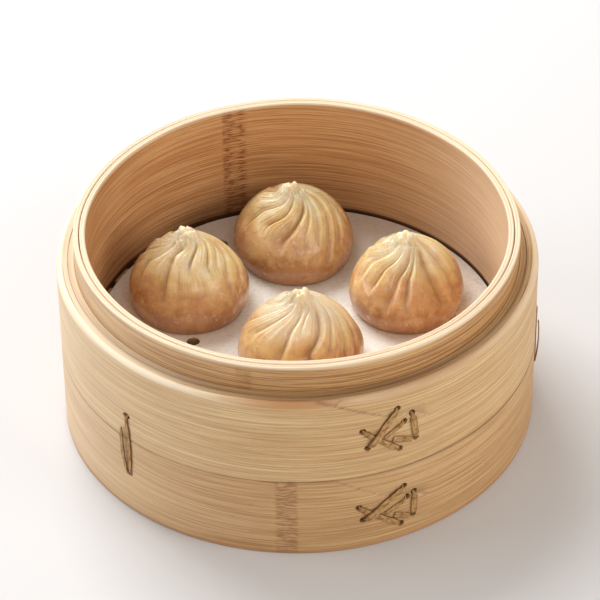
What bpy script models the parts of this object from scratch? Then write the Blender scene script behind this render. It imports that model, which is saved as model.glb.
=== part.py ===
"""A round bamboo steamer basket with a paper liner and four pleated soup dumplings.

Metres, +Z up. The origin is on the table under the middle of the basket, +X is to the right and
+Y is away from the side with the two laced joints. Sizes below are in millimetres and degrees, and
MM turns them into metres where a mesh is made.
"""
import math
import random

import bmesh
import bpy
import numpy as np
from mathutils import Matrix, Vector

MM = 0.001
GAP = 0.3                       # clearance between pieces that touch

# The basket
BAND_RADIUS = 90.0              # outside of the two wound bands
LIP_RADIUS = 83.0               # outside of the lip that a lid or another tier fits over
INNER_RADIUS = 78.5             # inside of the wall
PLY = 2.2                       # thickness of the innermost strip of bamboo
BASKET_HEIGHT = 82.0
LEDGE_HEIGHT = 71.0             # top of the upper band, below the lip
SEAM_HEIGHT = 34.5              # where the two bands meet
WALL_FOOT = 12.0                # underside of the inner wall, clear of another tier's lip
EDGE = 0.6                      # width of the worn edges
RING_SEGMENTS = 72
SHARP_EDGE = 35.0               # turned pieces are shaded smooth up to this angle

# The slatted floor
HOOP_WIDTH = 3.0
HOOP_FOOT = 14.0
HOOP_TOP = 23.7
BATTEN_THICKNESS = 3.7
BATTEN_WIDTH = 12.0
BATTEN_SPACING = 50.0
SLAT_THICKNESS = 3.0
SLAT_WIDTH = 7.6
SLAT_PITCH = 12.1
SLAT_COUNT = 13
SLAT_SHIFT = 0.35               # puts two of the gaps between slats under the holes in the paper

# The paper liner
LINER_TOP = 31.8
LINER_THICKNESS = 0.5
LINER_RADIUS = 77.3
LINER_SHIFT = 0.6               # the paper lies against the right side of the wall
LINER_HOLE_RADIUS = 2.5
LINER_HOLE_SIDES = 16
LINER_HOLES = ((-39.8, -5.7), (-29.7, 54.8))

# The cane lacings and stitches
CANE_THICKNESS = 0.5
CANE_END_WIDTH = 1.3
CANE_HOLE_RADIUS = 1.35
CANE_HOLE_DEPTH = 3.0
CANE_HOLE_SIDES = 10
CANE_DIP = 1.2                  # how deep an end goes into its hole
CANE_BEND = 1.2                 # length of the bend at a hole
CANE_CROSSING = 3.0             # half the length of the hump where one strip passes over another
HUMP_FLAT = 0.6                 # share of that length over which the hump is at its full height
STRIP_SPANS = 6                 # straight pieces along the middle of a lacing strip
LACING_AZIMUTH = 291.2
UPPER_LACING_HEIGHT = 53.0
LOWER_LACING_HEIGHT = 16.0

# Holes of each lacing: distance to the right of its middle, and height above it
UPPER_HOLES = {"a": (-10.5, 2.7), "b": (-8.6, -5.4), "c": (2.8, 9.5), "d": (8.7, 5.4), "e": (10.2, -6.4),
               "f": (3.7, -9.2), "g": (5.4, 3.0)}
LOWER_HOLES = {"a": (-11.8, 3.7), "b": (-10.2, -2.5), "c": (5.8, 8.8), "d": (10.0, 4.4), "e": (9.6, -6.2),
               "f": (4.6, -8.8), "g": (7.0, 3.0)}
# Strips of a lacing: the hole each starts in, the hole it ends in, whether it passes over the second, width
LACING_STRIPS = (("b", "c", True, 2.6), ("a", "f", False, 2.3), ("d", "e", False, 2.3))
# A strip that ends on the wall (start hole, end point, width), and one that lies on the wall (both ends, width)
UPPER_LOOSE_STRIPS = (("g", (-2.0, -2.0), 1.6), ((8.3, -6.25), (1.0, -3.6), 2.3))
LOWER_LOOSE_STRIPS = (("g", (-1.8, -1.6), 1.6), ((7.6, -5.9), (1.8, -3.4), 2.3))

# Stitches that tie the two bands together: name and azimuth
STITCHES = (("left", 226.0), ("right", 358.0), ("back_right", 74.0), ("back_left", 150.0))
STITCH_TOP = 45.5
STITCH_FOOT = 18.0
STITCH_END_WIDTH = 1.1
STITCH_SLOT_STRETCH = 1.35      # a stitch's hole is wider than it is high
STITCH_SPOTS = (0.0, 0.4, 0.8, 1.2, 2.5, 4.0, 7.0, 10.5)   # distances from a hole where a strand bends
# The tied strand runs from hole to hole and the free one starts on the wall: pairs of share of the way down
# and distance to the right
TIED_STRAND = ((0.0, 0.0), (0.5, 0.9), (1.0, 0.75))
FREE_STRAND = ((0.22, -2.0), (0.5, -1.7), (0.73, -1.45), (1.0, -0.7))
TIED_WIDTH = 1.9
FREE_WIDTH = 1.7
FREE_TIP_WIDTH = 0.8
FREE_BULGE = 1.0                # how far the free strand stands out halfway
FREE_SPANS = 6

# The dumplings
SKIN_ROWS = 14
ROW_CROWDING = 1.12             # above 1 to have more rows near the knot
COLUMN_SHARES = (0.0, 0.16, 0.4, 0.66, 0.86)    # where the columns of points lie between two folds
FOLD_EDGE = 60.0                # dough is shaded smooth up to this angle
OVAL = 0.016                    # how far the dumplings are from round, as shares of the radius
THREE_SIDED = 0.010
POLAR_END = 112.0               # the skin's profile runs from 0 at the knot to this at the paper
PROFILE_POWER = 1.18            # above 1 for a slope straighter than a ball's
WAIST = 0.22                    # height of the widest part, as a share of the whole
SWEEP_POWER = 1.5
KNOT_RADIUS = 4.2
KNOT_HEIGHT = 1.5
FULL_DEPTH_RADIUS = 11.0        # nearer to the knot than this, the folds are shallower
FOLD_STEEP = 0.9                # half width of a fold's overhanging side, at FOLD_WIDTH_RADIUS from the middle
FOLD_GENTLE = 3.0               # half width of its other side
FOLD_WIDTH_RADIUS = 20.0
CREST_OFFSET = 1.9              # distance from a fold to the crest beside it
CREST_SHARE = 0.3               # height of the crest as a share of the fold's depth
WAY_START = 14.0                # above this polar angle a fold runs straight to the knot
WAY_SWIRL = 1.5                 # degrees that a fold turns for each degree from there to its first point
WAY_SPACING = 9.0               # least angle between two folds
WAY_STEPS = 141

# Each fold: its depth in millimetres, a softness that widens it, and the polar angle and azimuth of the start,
# middle and end of its way down the dumpling. Azimuth 270 faces the laced side.
LEFT_FOLDS = (
    (1.2, 1.0, (14, 216), (43, 197), (64, 204)), (1.8, 1.3, (14, 278), (25, 240), (66, 243)),
    (2.0, 0.9, (16, 328), (26, 290), (36, 276)), (1.6, 0.8, (22, 360), (30, 328), (40, 308)),
    (0.8, 0.9, (29, 372), (36, 339), (43, 322)), (1.1, 1.2, (36, 369), (55, 326), (74, 306)),
    (0.9, 1.2, (36, 394), (50, 371), (70, 346)))
BACK_FOLDS = (
    (1.7, 1.0, (12, 176), (20, 161), (30, 154)), (0.9, 1.2, (32, 180), (48, 178), (66, 184)),
    (1.7, 1.0, (14, 255), (34, 205), (54, 196)), (2.1, 0.9, (17, 274), (30, 257), (43, 230)),
    (2.5, 1.3, (22, 308), (38, 278), (54, 257)), (1.0, 0.8, (28, 312), (38, 298), (50, 284)),
    (0.9, 0.9, (30, 326), (42, 313), (58, 298)), (1.4, 1.1, (32, 355), (56, 318), (80, 297)),
    (0.9, 1.2, (42, 378), (54, 348), (68, 326)))
RIGHT_FOLDS = (
    (0.9, 1.2, (44, 180), (60, 183), (72, 190)), (1.3, 1.0, (22, 208), (38, 197), (58, 200)),
    (2.0, 1.0, (24, 247), (38, 227), (56, 223)), (2.5, 1.5, (22, 282), (42, 256), (68, 248)),
    (1.9, 1.2, (30, 286), (44, 272), (62, 268)), (2.5, 1.8, (28, 315), (40, 308), (74, 309)),
    (1.4, 1.4, (32, 348), (46, 338), (74, 334)))
FRONT_FOLDS = (
    (0.8, 1.0, (26, 168), (46, 149), (70, 140)), (1.3, 1.0, (11, 214), (30, 193), (65, 166)),
    (1.9, 0.9, (14, 242), (28, 224), (54, 200)), (2.2, 1.2, (20, 272), (36, 253), (60, 247)),
    (1.0, 0.8, (18, 304), (24, 284), (34, 272)), (2.6, 1.4, (27, 319), (42, 301), (58, 276)),
    (0.9, 0.8, (26, 352), (44, 320), (62, 300)), (0.9, 0.8, (32, 366), (50, 338), (70, 320)),
    (0.9, 0.8, (40, 374), (56, 354), (80, 334)))
# On the side away from the lacings the folds are evenly spaced: first and last azimuth, and how many
LEFT_REST = (16, 158, 6)
BACK_REST = (352, 446, 4)
RIGHT_REST = (360, 505, 6)
FRONT_REST = (8, 100, 4)
REST_SWEEP = 90.0
REST_DEPTH = 0.9
REST_REACH = 64.0
REST_JITTER = 6.0

# The humps of each knot: place beside the knot's middle, size and rise
LEFT_KNOT = ((-0.7, 0.6, 1.4, 3.4), (3.2, 0.8, 1.3, 3.0), (1.3, -1.4, 1.7, 1.8), (1.3, 2.2, 1.3, 2.2))
BACK_KNOT = ((1.7, 0.2, 1.1, 3.0), (-0.5, -0.4, 1.7, 1.7), (-2.8, 0.2, 1.4, 1.1))
RIGHT_KNOT = ((-1.5, 0.3, 1.5, 2.2), (2.3, 0.2, 1.4, 2.2), (0.4, 0.9, 1.2, 1.8), (-6.4, 1.0, 1.4, 1.8))
FRONT_KNOT = ((-1.7, 0.2, 1.2, 3.1), (1.8, 0.1, 1.0, 3.6), (0.1, -0.9, 1.7, 2.2), (-5.4, 1.2, 1.0, 0.9))

# Each dumpling: name, place of its middle on the paper, radius, height, folds, the rest, where the knot
# leans to, a phase in radians that makes its unevenness its own, and its knot
DUMPLINGS = (
    ("left", (-41.7, 18.6), 22.8, 31.0, LEFT_FOLDS, LEFT_REST, (-0.6, 0.4), 0.5, LEFT_KNOT),
    ("back", (-1.2, 49.3), 23.8, 29.0, BACK_FOLDS, BACK_REST, (-0.8, 0.6), 2.1, BACK_KNOT),
    ("right", (41.9, 17.3), 22.3, 28.6, RIGHT_FOLDS, RIGHT_REST, (-0.8, 0.5), 3.7, RIGHT_KNOT),
    ("front", (0.9, -18.3), 23.4, 29.6, FRONT_FOLDS, FRONT_REST, (0.2, 0.4), 5.2, FRONT_KNOT),
)

COLLECTION = "dumpling_steamer"
CUTTERS = "dumpling_steamer_cutters"


def clear_scene():
    for item in list(bpy.data.objects):
        bpy.data.objects.remove(item, do_unlink=True)


def make_collection(name):
    collection = bpy.data.collections.new(name)
    bpy.context.scene.collection.children.link(collection)
    return collection


def make_material(name, colour, roughness):
    material = bpy.data.materials.new(name)
    material.use_nodes = True
    shader = material.node_tree.nodes["Principled BSDF"]
    shader.inputs["Base Color"].default_value = (*colour, 1.0)
    shader.inputs["Roughness"].default_value = roughness
    shader.inputs["Metallic"].default_value = 0.0
    return material


def make_materials():
    return {
        "band": make_material("pale_bamboo", (0.58, 0.38, 0.19), 0.5),
        "wall": make_material("inner_bamboo", (0.45, 0.24, 0.10), 0.5),
        "slat": make_material("slat_bamboo", (0.50, 0.32, 0.16), 0.6),
        "paper": make_material("liner_paper", (0.78, 0.72, 0.66), 0.8),
        "cane": make_material("cane", (0.36, 0.23, 0.12), 0.7),
        "skin": make_material("steamed_dough", (0.70, 0.48, 0.27), 0.35),
    }


def add_object(name, mesh, material, collection):
    mesh.materials.clear()
    mesh.materials.append(material)
    item = bpy.data.objects.new(name, mesh)
    collection.objects.link(item)
    return item


def mesh_from(shape, name):
    """Turns a bmesh in millimetres into a mesh in metres."""
    bmesh.ops.scale(shape, vec=(MM, MM, MM), verts=shape.verts)
    bmesh.ops.recalc_face_normals(shape, faces=shape.faces)
    mesh = bpy.data.meshes.new(name)
    shape.to_mesh(mesh)
    shape.free()
    return mesh


def apply_modifiers(item):
    """Keeps the modified mesh, shaded smooth apart from its edges."""
    depsgraph = bpy.context.evaluated_depsgraph_get()
    mesh = bpy.data.meshes.new_from_object(item.evaluated_get(depsgraph))
    item.modifiers.clear()
    item.data = mesh
    mesh.shade_smooth()
    mesh.set_sharp_from_angle(angle=math.radians(SHARP_EDGE))


def ease(value):
    """Runs smoothly from 0 to 1 as value does."""
    value = min(max(value, 0.0), 1.0)
    return value * value * (3.0 - 2.0 * value)


def turned_ring(name, outline, segments, material, collection):
    """A ring turned from its outline, which is a list of (radius, height) with its outer side going down."""
    mesh = bpy.data.meshes.new(name)
    points = [(radius * MM, 0.0, height * MM) for radius, height in outline]
    edges = [(i, (i + 1) % len(points)) for i in range(len(points))]
    mesh.from_pydata(points, edges, [])
    ring = add_object(name, mesh, material, collection)
    screw = ring.modifiers.new("turned", "SCREW")
    screw.axis = "Z"
    screw.angle = 2.0 * math.pi
    screw.steps = segments
    screw.render_steps = segments
    screw.use_merge_vertices = True
    screw.merge_threshold = 0.00001
    return ring


def wall_point(azimuth, height, radius):
    angle = math.radians(azimuth)
    return Vector((radius * math.cos(angle), radius * math.sin(angle), height))


def add_hole_cutter(shape, azimuth, height, stretch):
    """Adds one short rod to a cutter, pointing into the bands' outer side."""
    length = 2.0 * CANE_HOLE_DEPTH
    outward = wall_point(azimuth, 0.0, 1.0)
    sideways = Vector((0.0, 0.0, 1.0)).cross(outward)
    turn = Matrix((sideways * stretch, Vector((0.0, 0.0, 1.0)), outward)).transposed().to_4x4()
    place = Matrix.Translation(wall_point(azimuth, height, BAND_RADIUS))
    bmesh.ops.create_cone(shape, cap_ends=True, segments=CANE_HOLE_SIDES, radius1=CANE_HOLE_RADIUS,
                          radius2=CANE_HOLE_RADIUS, depth=length, matrix=place @ turn)


def arc_to_azimuth(distance):
    """Angle of a distance along the outside of the bands."""
    return math.degrees(distance / BAND_RADIUS)


def drill(band, places, material, cutters):
    """Cuts blind holes at (azimuth, height, stretch) into the outside of a band."""
    shape = bmesh.new()
    for azimuth, height, stretch in places:
        add_hole_cutter(shape, azimuth, height, stretch)
    cutter = add_object(band.name + "_holes", mesh_from(shape, band.name + "_holes"), material, cutters)
    cutter.hide_render = True
    cutter.display_type = "WIRE"
    cut = band.modifiers.new("holes", "BOOLEAN")
    cut.operation = "DIFFERENCE"
    cut.solver = "EXACT"
    cut.object = cutter
    apply_modifiers(band)
    bpy.data.objects.remove(cutter, do_unlink=True)


def lacing_places(holes, height):
    return [(LACING_AZIMUTH + arc_to_azimuth(x), height + z, 1.0) for x, z in holes.values()]


def build_walls(materials, collection, cutters):
    """The two plies of the inner wall and the two wound bands outside them."""
    ply_outside = INNER_RADIUS + PLY
    inner = turned_ring("inner_wall", (
        (INNER_RADIUS, BASKET_HEIGHT - EDGE), (INNER_RADIUS + EDGE, BASKET_HEIGHT),
        (ply_outside, BASKET_HEIGHT), (ply_outside, WALL_FOOT), (INNER_RADIUS, WALL_FOOT),
    ), RING_SEGMENTS, materials["wall"], collection)
    outer = turned_ring("lip_ply", (
        (ply_outside + GAP, BASKET_HEIGHT), (LIP_RADIUS - EDGE, BASKET_HEIGHT),
        (LIP_RADIUS, BASKET_HEIGHT - EDGE), (LIP_RADIUS, WALL_FOOT), (ply_outside + GAP, WALL_FOOT),
    ), RING_SEGMENTS, materials["band"], collection)
    upper = turned_ring("upper_band", (
        (LIP_RADIUS + GAP, LEDGE_HEIGHT), (BAND_RADIUS - EDGE, LEDGE_HEIGHT),
        (BAND_RADIUS, LEDGE_HEIGHT - EDGE), (BAND_RADIUS, SEAM_HEIGHT + GAP / 2),
        (LIP_RADIUS + GAP, SEAM_HEIGHT + GAP / 2),
    ), RING_SEGMENTS, materials["band"], collection)
    lower = turned_ring("lower_band", (
        (LIP_RADIUS + GAP, SEAM_HEIGHT - GAP / 2), (BAND_RADIUS, SEAM_HEIGHT - GAP / 2),
        (BAND_RADIUS, EDGE), (BAND_RADIUS - EDGE, 0.0), (LIP_RADIUS + GAP, 0.0),
    ), RING_SEGMENTS, materials["band"], collection)
    apply_modifiers(inner)
    apply_modifiers(outer)
    tops = [(azimuth, STITCH_TOP, STITCH_SLOT_STRETCH) for _, azimuth in STITCHES]
    feet = [(azimuth, STITCH_FOOT, STITCH_SLOT_STRETCH) for _, azimuth in STITCHES]
    drill(upper, lacing_places(UPPER_HOLES, UPPER_LACING_HEIGHT) + tops, materials["band"], cutters)
    drill(lower, lacing_places(LOWER_HOLES, LOWER_LACING_HEIGHT) + feet, materials["band"], cutters)


def chord(offset):
    """Half the length of a straight piece at this distance from the middle, inside the wall."""
    radius = INNER_RADIUS - GAP
    return math.sqrt(radius * radius - offset * offset)


def floor_bar(name, middle, width, low, high, lengthwise, material, collection):
    """A flat bar of the floor whose ends are cut to the round of the wall."""
    shape = bmesh.new()
    bmesh.ops.create_cube(shape, size=1.0)
    for vertex in shape.verts:
        across = middle + vertex.co.x * width
        along = math.copysign(chord(across), vertex.co.y)
        height = low if vertex.co.z < 0 else high
        vertex.co = (across, along, height) if lengthwise == "y" else (along, across, height)
    add_object(name, mesh_from(shape, name), material, collection)


def build_floor(materials, collection):
    """A hoop inside the wall, battens on it, and slats across the battens."""
    outside = INNER_RADIUS - GAP
    hoop = turned_ring("floor_hoop", (
        (outside - HOOP_WIDTH, HOOP_TOP), (outside, HOOP_TOP),
        (outside, HOOP_FOOT), (outside - HOOP_WIDTH, HOOP_FOOT),
    ), RING_SEGMENTS, materials["slat"], collection)
    apply_modifiers(hoop)
    batten_low = HOOP_TOP + GAP
    batten_high = batten_low + BATTEN_THICKNESS
    for index in range(3):
        floor_bar(f"floor_batten_{index + 1}", (index - 1) * BATTEN_SPACING, BATTEN_WIDTH,
                  batten_low, batten_high, "y", materials["slat"], collection)
    slat_low = batten_high + GAP
    for index in range(SLAT_COUNT):
        middle = SLAT_SHIFT + (index - (SLAT_COUNT - 1) / 2) * SLAT_PITCH
        floor_bar(f"floor_slat_{index + 1:02d}", middle, SLAT_WIDTH, slat_low,
                  slat_low + SLAT_THICKNESS, "x", materials["slat"], collection)


def build_liner(materials, collection, cutters):
    """The round sheet of perforated paper under the dumplings."""
    shape = bmesh.new()
    place = Matrix.Translation((LINER_SHIFT, 0.0, LINER_TOP - LINER_THICKNESS / 2))
    bmesh.ops.create_cone(shape, cap_ends=True, segments=RING_SEGMENTS, radius1=LINER_RADIUS,
                          radius2=LINER_RADIUS, depth=LINER_THICKNESS, matrix=place)
    liner = add_object("paper_liner", mesh_from(shape, "paper_liner"), materials["paper"], collection)
    shape = bmesh.new()
    for x, y in LINER_HOLES:
        bmesh.ops.create_cone(shape, cap_ends=True, segments=LINER_HOLE_SIDES, radius1=LINER_HOLE_RADIUS,
                              radius2=LINER_HOLE_RADIUS, depth=4 * LINER_THICKNESS,
                              matrix=Matrix.Translation((x, y, LINER_TOP)))
    cutter = add_object("liner_holes", mesh_from(shape, "liner_holes"), materials["paper"], cutters)
    cutter.hide_render = True
    cutter.display_type = "WIRE"
    cut = liner.modifiers.new("holes", "BOOLEAN")
    cut.operation = "DIFFERENCE"
    cut.solver = "EXACT"
    cut.object = cutter
    apply_modifiers(liner)
    bpy.data.objects.remove(cutter, do_unlink=True)


def strip_mesh(name, azimuth, base_height, stations):
    """A flat strip of cane on the outside of the bands.

    Each station is (distance to the right, height, lift of the strip's middle, width).
    """
    points = []
    normals = []
    for x, z, lift, _ in stations:
        angle = azimuth + arc_to_azimuth(x)
        points.append(wall_point(angle, base_height + z, BAND_RADIUS + lift))
        normals.append(wall_point(angle, 0.0, 1.0))
    shape = bmesh.new()
    rings = []
    for index, point in enumerate(points):
        ahead = points[min(index + 1, len(points) - 1)]
        behind = points[max(index - 1, 0)]
        run = (ahead - behind).normalized()
        side = run.cross(normals[index]).normalized()
        outward = side.cross(run)
        half = stations[index][3] / 2
        rise = CANE_THICKNESS / 2
        corners = ((-half, -rise), (half, -rise), (half, rise), (-half, rise))
        rings.append([shape.verts.new(point + side * s + outward * t) for s, t in corners])
    for first, second in zip(rings, rings[1:]):
        for k in range(4):
            shape.faces.new((first[k], first[(k + 1) % 4], second[(k + 1) % 4], second[k]))
    shape.faces.new(rings[0])
    shape.faces.new(rings[-1])
    return mesh_from(shape, name)


def rest_lift():
    return GAP + CANE_THICKNESS / 2


def hole_lift(distance):
    """Lift of a strip's middle at a distance from the middle of the hole it ends in."""
    return rest_lift() - (rest_lift() + CANE_DIP) * (1.0 - ease(distance / CANE_BEND))


def lacing_strip(name, height, ends, width, hump_at, ends_in_holes, material, collection):
    """A straight strip between two points, with a hump where it crosses another.

    The first of the ends that lie in holes is the start; the other ends lie on the wall.
    """
    start, end = Vector(ends[0]), Vector(ends[1])
    length = (end - start).length
    bend = [0.0, CANE_BEND / 3, CANE_BEND * 2 / 3, CANE_BEND]
    spots = list(bend if ends_in_holes else (0.0, CANE_BEND))
    for k in range(1, STRIP_SPANS):
        spots.append(CANE_BEND + (length - 2 * CANE_BEND) * k / STRIP_SPANS)
    spots += [length - spot for spot in (reversed(bend) if ends_in_holes == 2 else (CANE_BEND, 0.0))]
    stations = []
    for spot in spots:
        place = start.lerp(end, spot / length)
        to_hole = (length, spot, min(spot, length - spot))[ends_in_holes]
        lift = hole_lift(to_hole)
        if hump_at is not None:
            lift += (CANE_THICKNESS + GAP) * ease(1.0 + HUMP_FLAT - abs(spot - hump_at) / CANE_CROSSING)
        across = CANE_END_WIDTH + (width - CANE_END_WIDTH) * ease(to_hole / (2 * CANE_BEND))
        stations.append((place.x, place.y, lift, across))
    add_object(name, strip_mesh(name, LACING_AZIMUTH, height, stations), material, collection)


def crossing(start, end, other_start, other_end):
    """Distance from start to where two straight strips cross."""
    start = Vector(start)
    run = Vector(end) - start
    other = Vector(other_end) - Vector(other_start)
    offset = Vector(other_start) - start
    share = (offset.x * other.y - offset.y * other.x) / (run.x * other.y - run.y * other.x)
    return share * run.length


def build_lacing(name, holes, loose, height, material, collection):
    """The criss-cross of cane that holds the end of a band's outer winding."""
    for index, (start, end, over, width) in enumerate(LACING_STRIPS):
        hump_at = crossing(holes[start], holes[end], holes["a"], holes["f"]) if over else None
        lacing_strip(f"{name}_{index + 1}", height, (holes[start], holes[end]), width, hump_at, 2,
                     material, collection)
    for index, (start, end, width) in enumerate(loose):
        in_hole = start in holes
        ends = (holes[start] if in_hole else start, end)
        lacing_strip(f"{name}_{index + 4}", height, ends, width, None, int(in_hole), material, collection)


def build_stitch(name, azimuth, material, collection):
    """Two strands of cane on the outside of the bands: one tied from hole to hole, one free at its top."""
    length = STITCH_TOP - STITCH_FOOT
    spots = list(STITCH_SPOTS) + [length - spot for spot in reversed(STITCH_SPOTS)]
    stations = []
    for spot in spots:
        x = float(np.interp(spot / length, *zip(*TIED_STRAND)))
        nearest = min(spot, length - spot)
        width = STITCH_END_WIDTH + (TIED_WIDTH - STITCH_END_WIDTH) * ease((nearest - 1.5) / 4.5)
        stations.append((x, STITCH_TOP - spot, hole_lift(nearest), width))
    add_object(f"{name}_a", strip_mesh(f"{name}_a", azimuth, 0.0, stations), material, collection)
    top = FREE_STRAND[0][0] * length
    spots = [top + (length - STITCH_SPOTS[-1] - top) * k / FREE_SPANS for k in range(FREE_SPANS)]
    spots += [length - spot for spot in reversed(STITCH_SPOTS)]
    stations = []
    for spot in spots:
        share = spot / length
        x = float(np.interp(share, *zip(*FREE_STRAND)))
        width = FREE_TIP_WIDTH + (FREE_WIDTH - FREE_TIP_WIDTH) * ease((spot - top) / 4.0)
        at_foot = STITCH_END_WIDTH + (FREE_WIDTH - STITCH_END_WIDTH) * ease((length - spot - 1.5) / 4.5)
        width = min(width, at_foot)
        lift = hole_lift(length - spot) + FREE_BULGE * math.sin(math.pi * share)
        stations.append((x, STITCH_TOP - spot, lift, width))
    add_object(f"{name}_b", strip_mesh(f"{name}_b", azimuth, 0.0, stations), material, collection)


def swirl_climb(polar):
    """Share of a fold's turn that is left at a polar angle: 1 at the knot and 0 at the waist."""
    return max(1.0 - polar / 90.0, 0.0) ** SWEEP_POWER


def rest_folds(rest, chance):
    """Evenly spaced folds for the side of a dumpling that faces away from the lacings."""
    first, last, count = rest
    folds = []
    for k in range(count):
        azimuth = first + (last - first) * k / max(count - 1, 1) + chance.uniform(-REST_JITTER, REST_JITTER)
        reach = REST_REACH + chance.uniform(-12.0, 10.0)
        way = [(polar, azimuth + REST_SWEEP * swirl_climb(polar)) for polar in (22.0, 42.0, reach)]
        folds.append((REST_DEPTH * chance.uniform(0.6, 1.4), chance.uniform(0.9, 1.3), *way))
    return folds


def fold_ways(folds):
    """The folds in order round the dumpling, and their azimuths down it, kept apart."""
    grid = np.linspace(0.0, POLAR_END, WAY_STEPS)
    ways = []
    for _, _, *points in folds:
        polar = [point[0] for point in points]
        azimuth = [point[1] for point in points]
        if polar[0] > WAY_START:
            azimuth.insert(0, azimuth[0] + WAY_SWIRL * (polar[0] - WAY_START))
            polar.insert(0, WAY_START)
        ways.append(np.interp(grid, polar, azimuth))
    ways = np.array(ways)
    order = np.argsort(ways[:, WAY_STEPS * 40 // 112])
    ways = ways[order]
    for _ in range(60):
        ahead = np.roll(ways, -1, axis=0)
        ahead[-1] += 360.0
        lack = np.maximum(WAY_SPACING - (ahead - ways), 0.0) / 2.0
        ways = ways - lack + np.roll(lack, 1, axis=0)
    padded = np.pad(ways, ((0, 0), (4, 4)), mode="edge")
    ways = np.array([np.convolve(row, np.ones(9) / 9, mode="valid") for row in padded])
    return [folds[k] for k in order], ways


def way_at(way, polar):
    return float(np.interp(polar, np.linspace(0.0, POLAR_END, WAY_STEPS), way))


def fold_relief(folds, ways, azimuth, polar, out):
    """How far the skin is drawn in by the folds at one place, less the crest beside each."""
    depth_here = 0.0
    crest_here = 0.0
    widen = (max(out, 1.0) / FOLD_WIDTH_RADIUS) ** 0.6
    for (depth, soft, *points), way in zip(folds, ways):
        first = max(min(points[0][0], 22.0) - 10.0, 4.0)
        shown = ease((polar - first) / 14.0) * (1.0 - ease((polar - points[-1][0] + 5.0) / 20.0))
        if shown <= 0.0:
            continue
        off = math.radians((azimuth - way_at(way, polar) + 180.0) % 360.0 - 180.0) * out
        width = (FOLD_STEEP if off > 0 else FOLD_GENTLE) * soft * widen
        depth_here = max(depth_here, depth * shown * math.exp(-(abs(off) / width) ** 1.25))
        beside = off - CREST_OFFSET * soft * widen
        width = (1.3 if beside > 0 else 0.8) * soft * widen
        crest_here = max(crest_here, depth * shown * math.exp(-(beside / width) ** 2))
    return (depth_here - CREST_SHARE * crest_here) * min(out / FULL_DEPTH_RADIUS, 1.0)


def profile(radius, height, polar):
    """Radius and height of the smooth skin at a polar angle in degrees."""
    angle = math.radians(polar)
    waist = WAIST * height
    out = radius * math.sin(angle) ** PROFILE_POWER
    if polar <= 90.0:
        return out, waist + (height - waist) * max(math.cos(angle), 0.0) ** PROFILE_POWER
    return out, waist * (1.0 - math.cos(angle) / math.cos(math.radians(POLAR_END)))


def knot_rise(x, y, humps):
    """Height of the pinched knot of dough at the top: a low mound with a few humps."""
    total = KNOT_HEIGHT * math.exp(-(math.hypot(x, y) / KNOT_RADIUS) ** 4)
    for hump_x, hump_y, size, rise in humps:
        total += rise * math.exp(-(((x - hump_x) ** 2 + (y - hump_y) ** 2) / size ** 2) ** 1.3)
    return total


def skin_point(dumpling, folds, ways, azimuth, polar):
    """A point of the skin, in millimetres from the middle of the dumpling's base."""
    _, _, radius, height, _, _, lean, phase, knot = dumpling
    out, up = profile(radius, height, polar)
    ahead = profile(radius, height, min(polar + 1.0, POLAR_END))
    behind = profile(radius, height, max(polar - 1.0, 0.0))
    slope = Vector((behind[1] - ahead[1], ahead[0] - behind[0])).normalized()
    drawn = fold_relief(folds, ways, azimuth, polar, out)
    uneven = 1.0 + OVAL * math.cos(math.radians(2 * azimuth) + phase)
    uneven += THREE_SIDED * math.cos(math.radians(3 * azimuth) - phase)
    out = max(out * uneven - slope.x * drawn, 0.0)
    angle = math.radians(azimuth)
    x, y = out * math.cos(angle), out * math.sin(angle)
    up = max(up - slope.y * drawn, 0.0) + knot_rise(x, y, knot)
    share = (up / height) ** 2
    return Vector((x + lean[0] * share, y + lean[1] * share, up))


def build_dumpling(dumpling, material, collection):
    """One dumpling: a ball of squares drawn into a pleated pouch with a flat base.

    Its columns of points follow the folds.
    """
    name, place, _, _, folds, rest, _, _, _ = dumpling
    folds, ways = fold_ways(list(folds) + rest_folds(rest, random.Random(name)))
    columns = len(folds) * len(COLUMN_SHARES)
    shape = bmesh.new()
    bmesh.ops.create_uvsphere(shape, u_segments=columns, v_segments=SKIN_ROWS, radius=1.0)
    base = Vector((place[0], place[1], LINER_TOP + GAP))
    for vertex in shape.verts:
        row = round(math.acos(max(-1.0, min(1.0, vertex.co.z))) / math.pi * SKIN_ROWS)
        if row == SKIN_ROWS:
            vertex.co = base
            continue
        column = round(math.atan2(vertex.co.y, vertex.co.x) / (2.0 * math.pi) * columns) % columns
        polar = POLAR_END * (row / (SKIN_ROWS - 1)) ** ROW_CROWDING
        index, place_between = divmod(column, len(COLUMN_SHARES))
        azimuth = way_at(ways[index], polar)
        following = way_at(ways[(index + 1) % len(ways)], polar)
        azimuth += COLUMN_SHARES[place_between] * ((following - azimuth) % 360.0)
        vertex.co = base + skin_point(dumpling, folds, ways, azimuth, polar)
    mesh = mesh_from(shape, "dumpling_" + name)
    mesh.shade_smooth()
    mesh.set_sharp_from_angle(angle=math.radians(FOLD_EDGE))
    add_object("dumpling_" + name, mesh, material, collection)


def main():
    clear_scene()
    collection = make_collection(COLLECTION)
    cutters = make_collection(CUTTERS)
    materials = make_materials()
    build_walls(materials, collection, cutters)
    build_floor(materials, collection)
    build_liner(materials, collection, cutters)
    build_lacing("upper_lacing", UPPER_HOLES, UPPER_LOOSE_STRIPS, UPPER_LACING_HEIGHT,
                 materials["cane"], collection)
    build_lacing("lower_lacing", LOWER_HOLES, LOWER_LOOSE_STRIPS, LOWER_LACING_HEIGHT,
                 materials["cane"], collection)
    for name, azimuth in STITCHES:
        build_stitch("stitch_" + name, azimuth, materials["cane"], collection)
    for dumpling in DUMPLINGS:
        build_dumpling(dumpling, materials["skin"], collection)


main()
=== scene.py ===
"""The looks of a bamboo steamer basket with four soup dumplings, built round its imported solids.

Lengths are in millimetres and angles in degrees until a mesh is made, as in the part's own source.
"""
import math
import random
from collections import namedtuple

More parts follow.
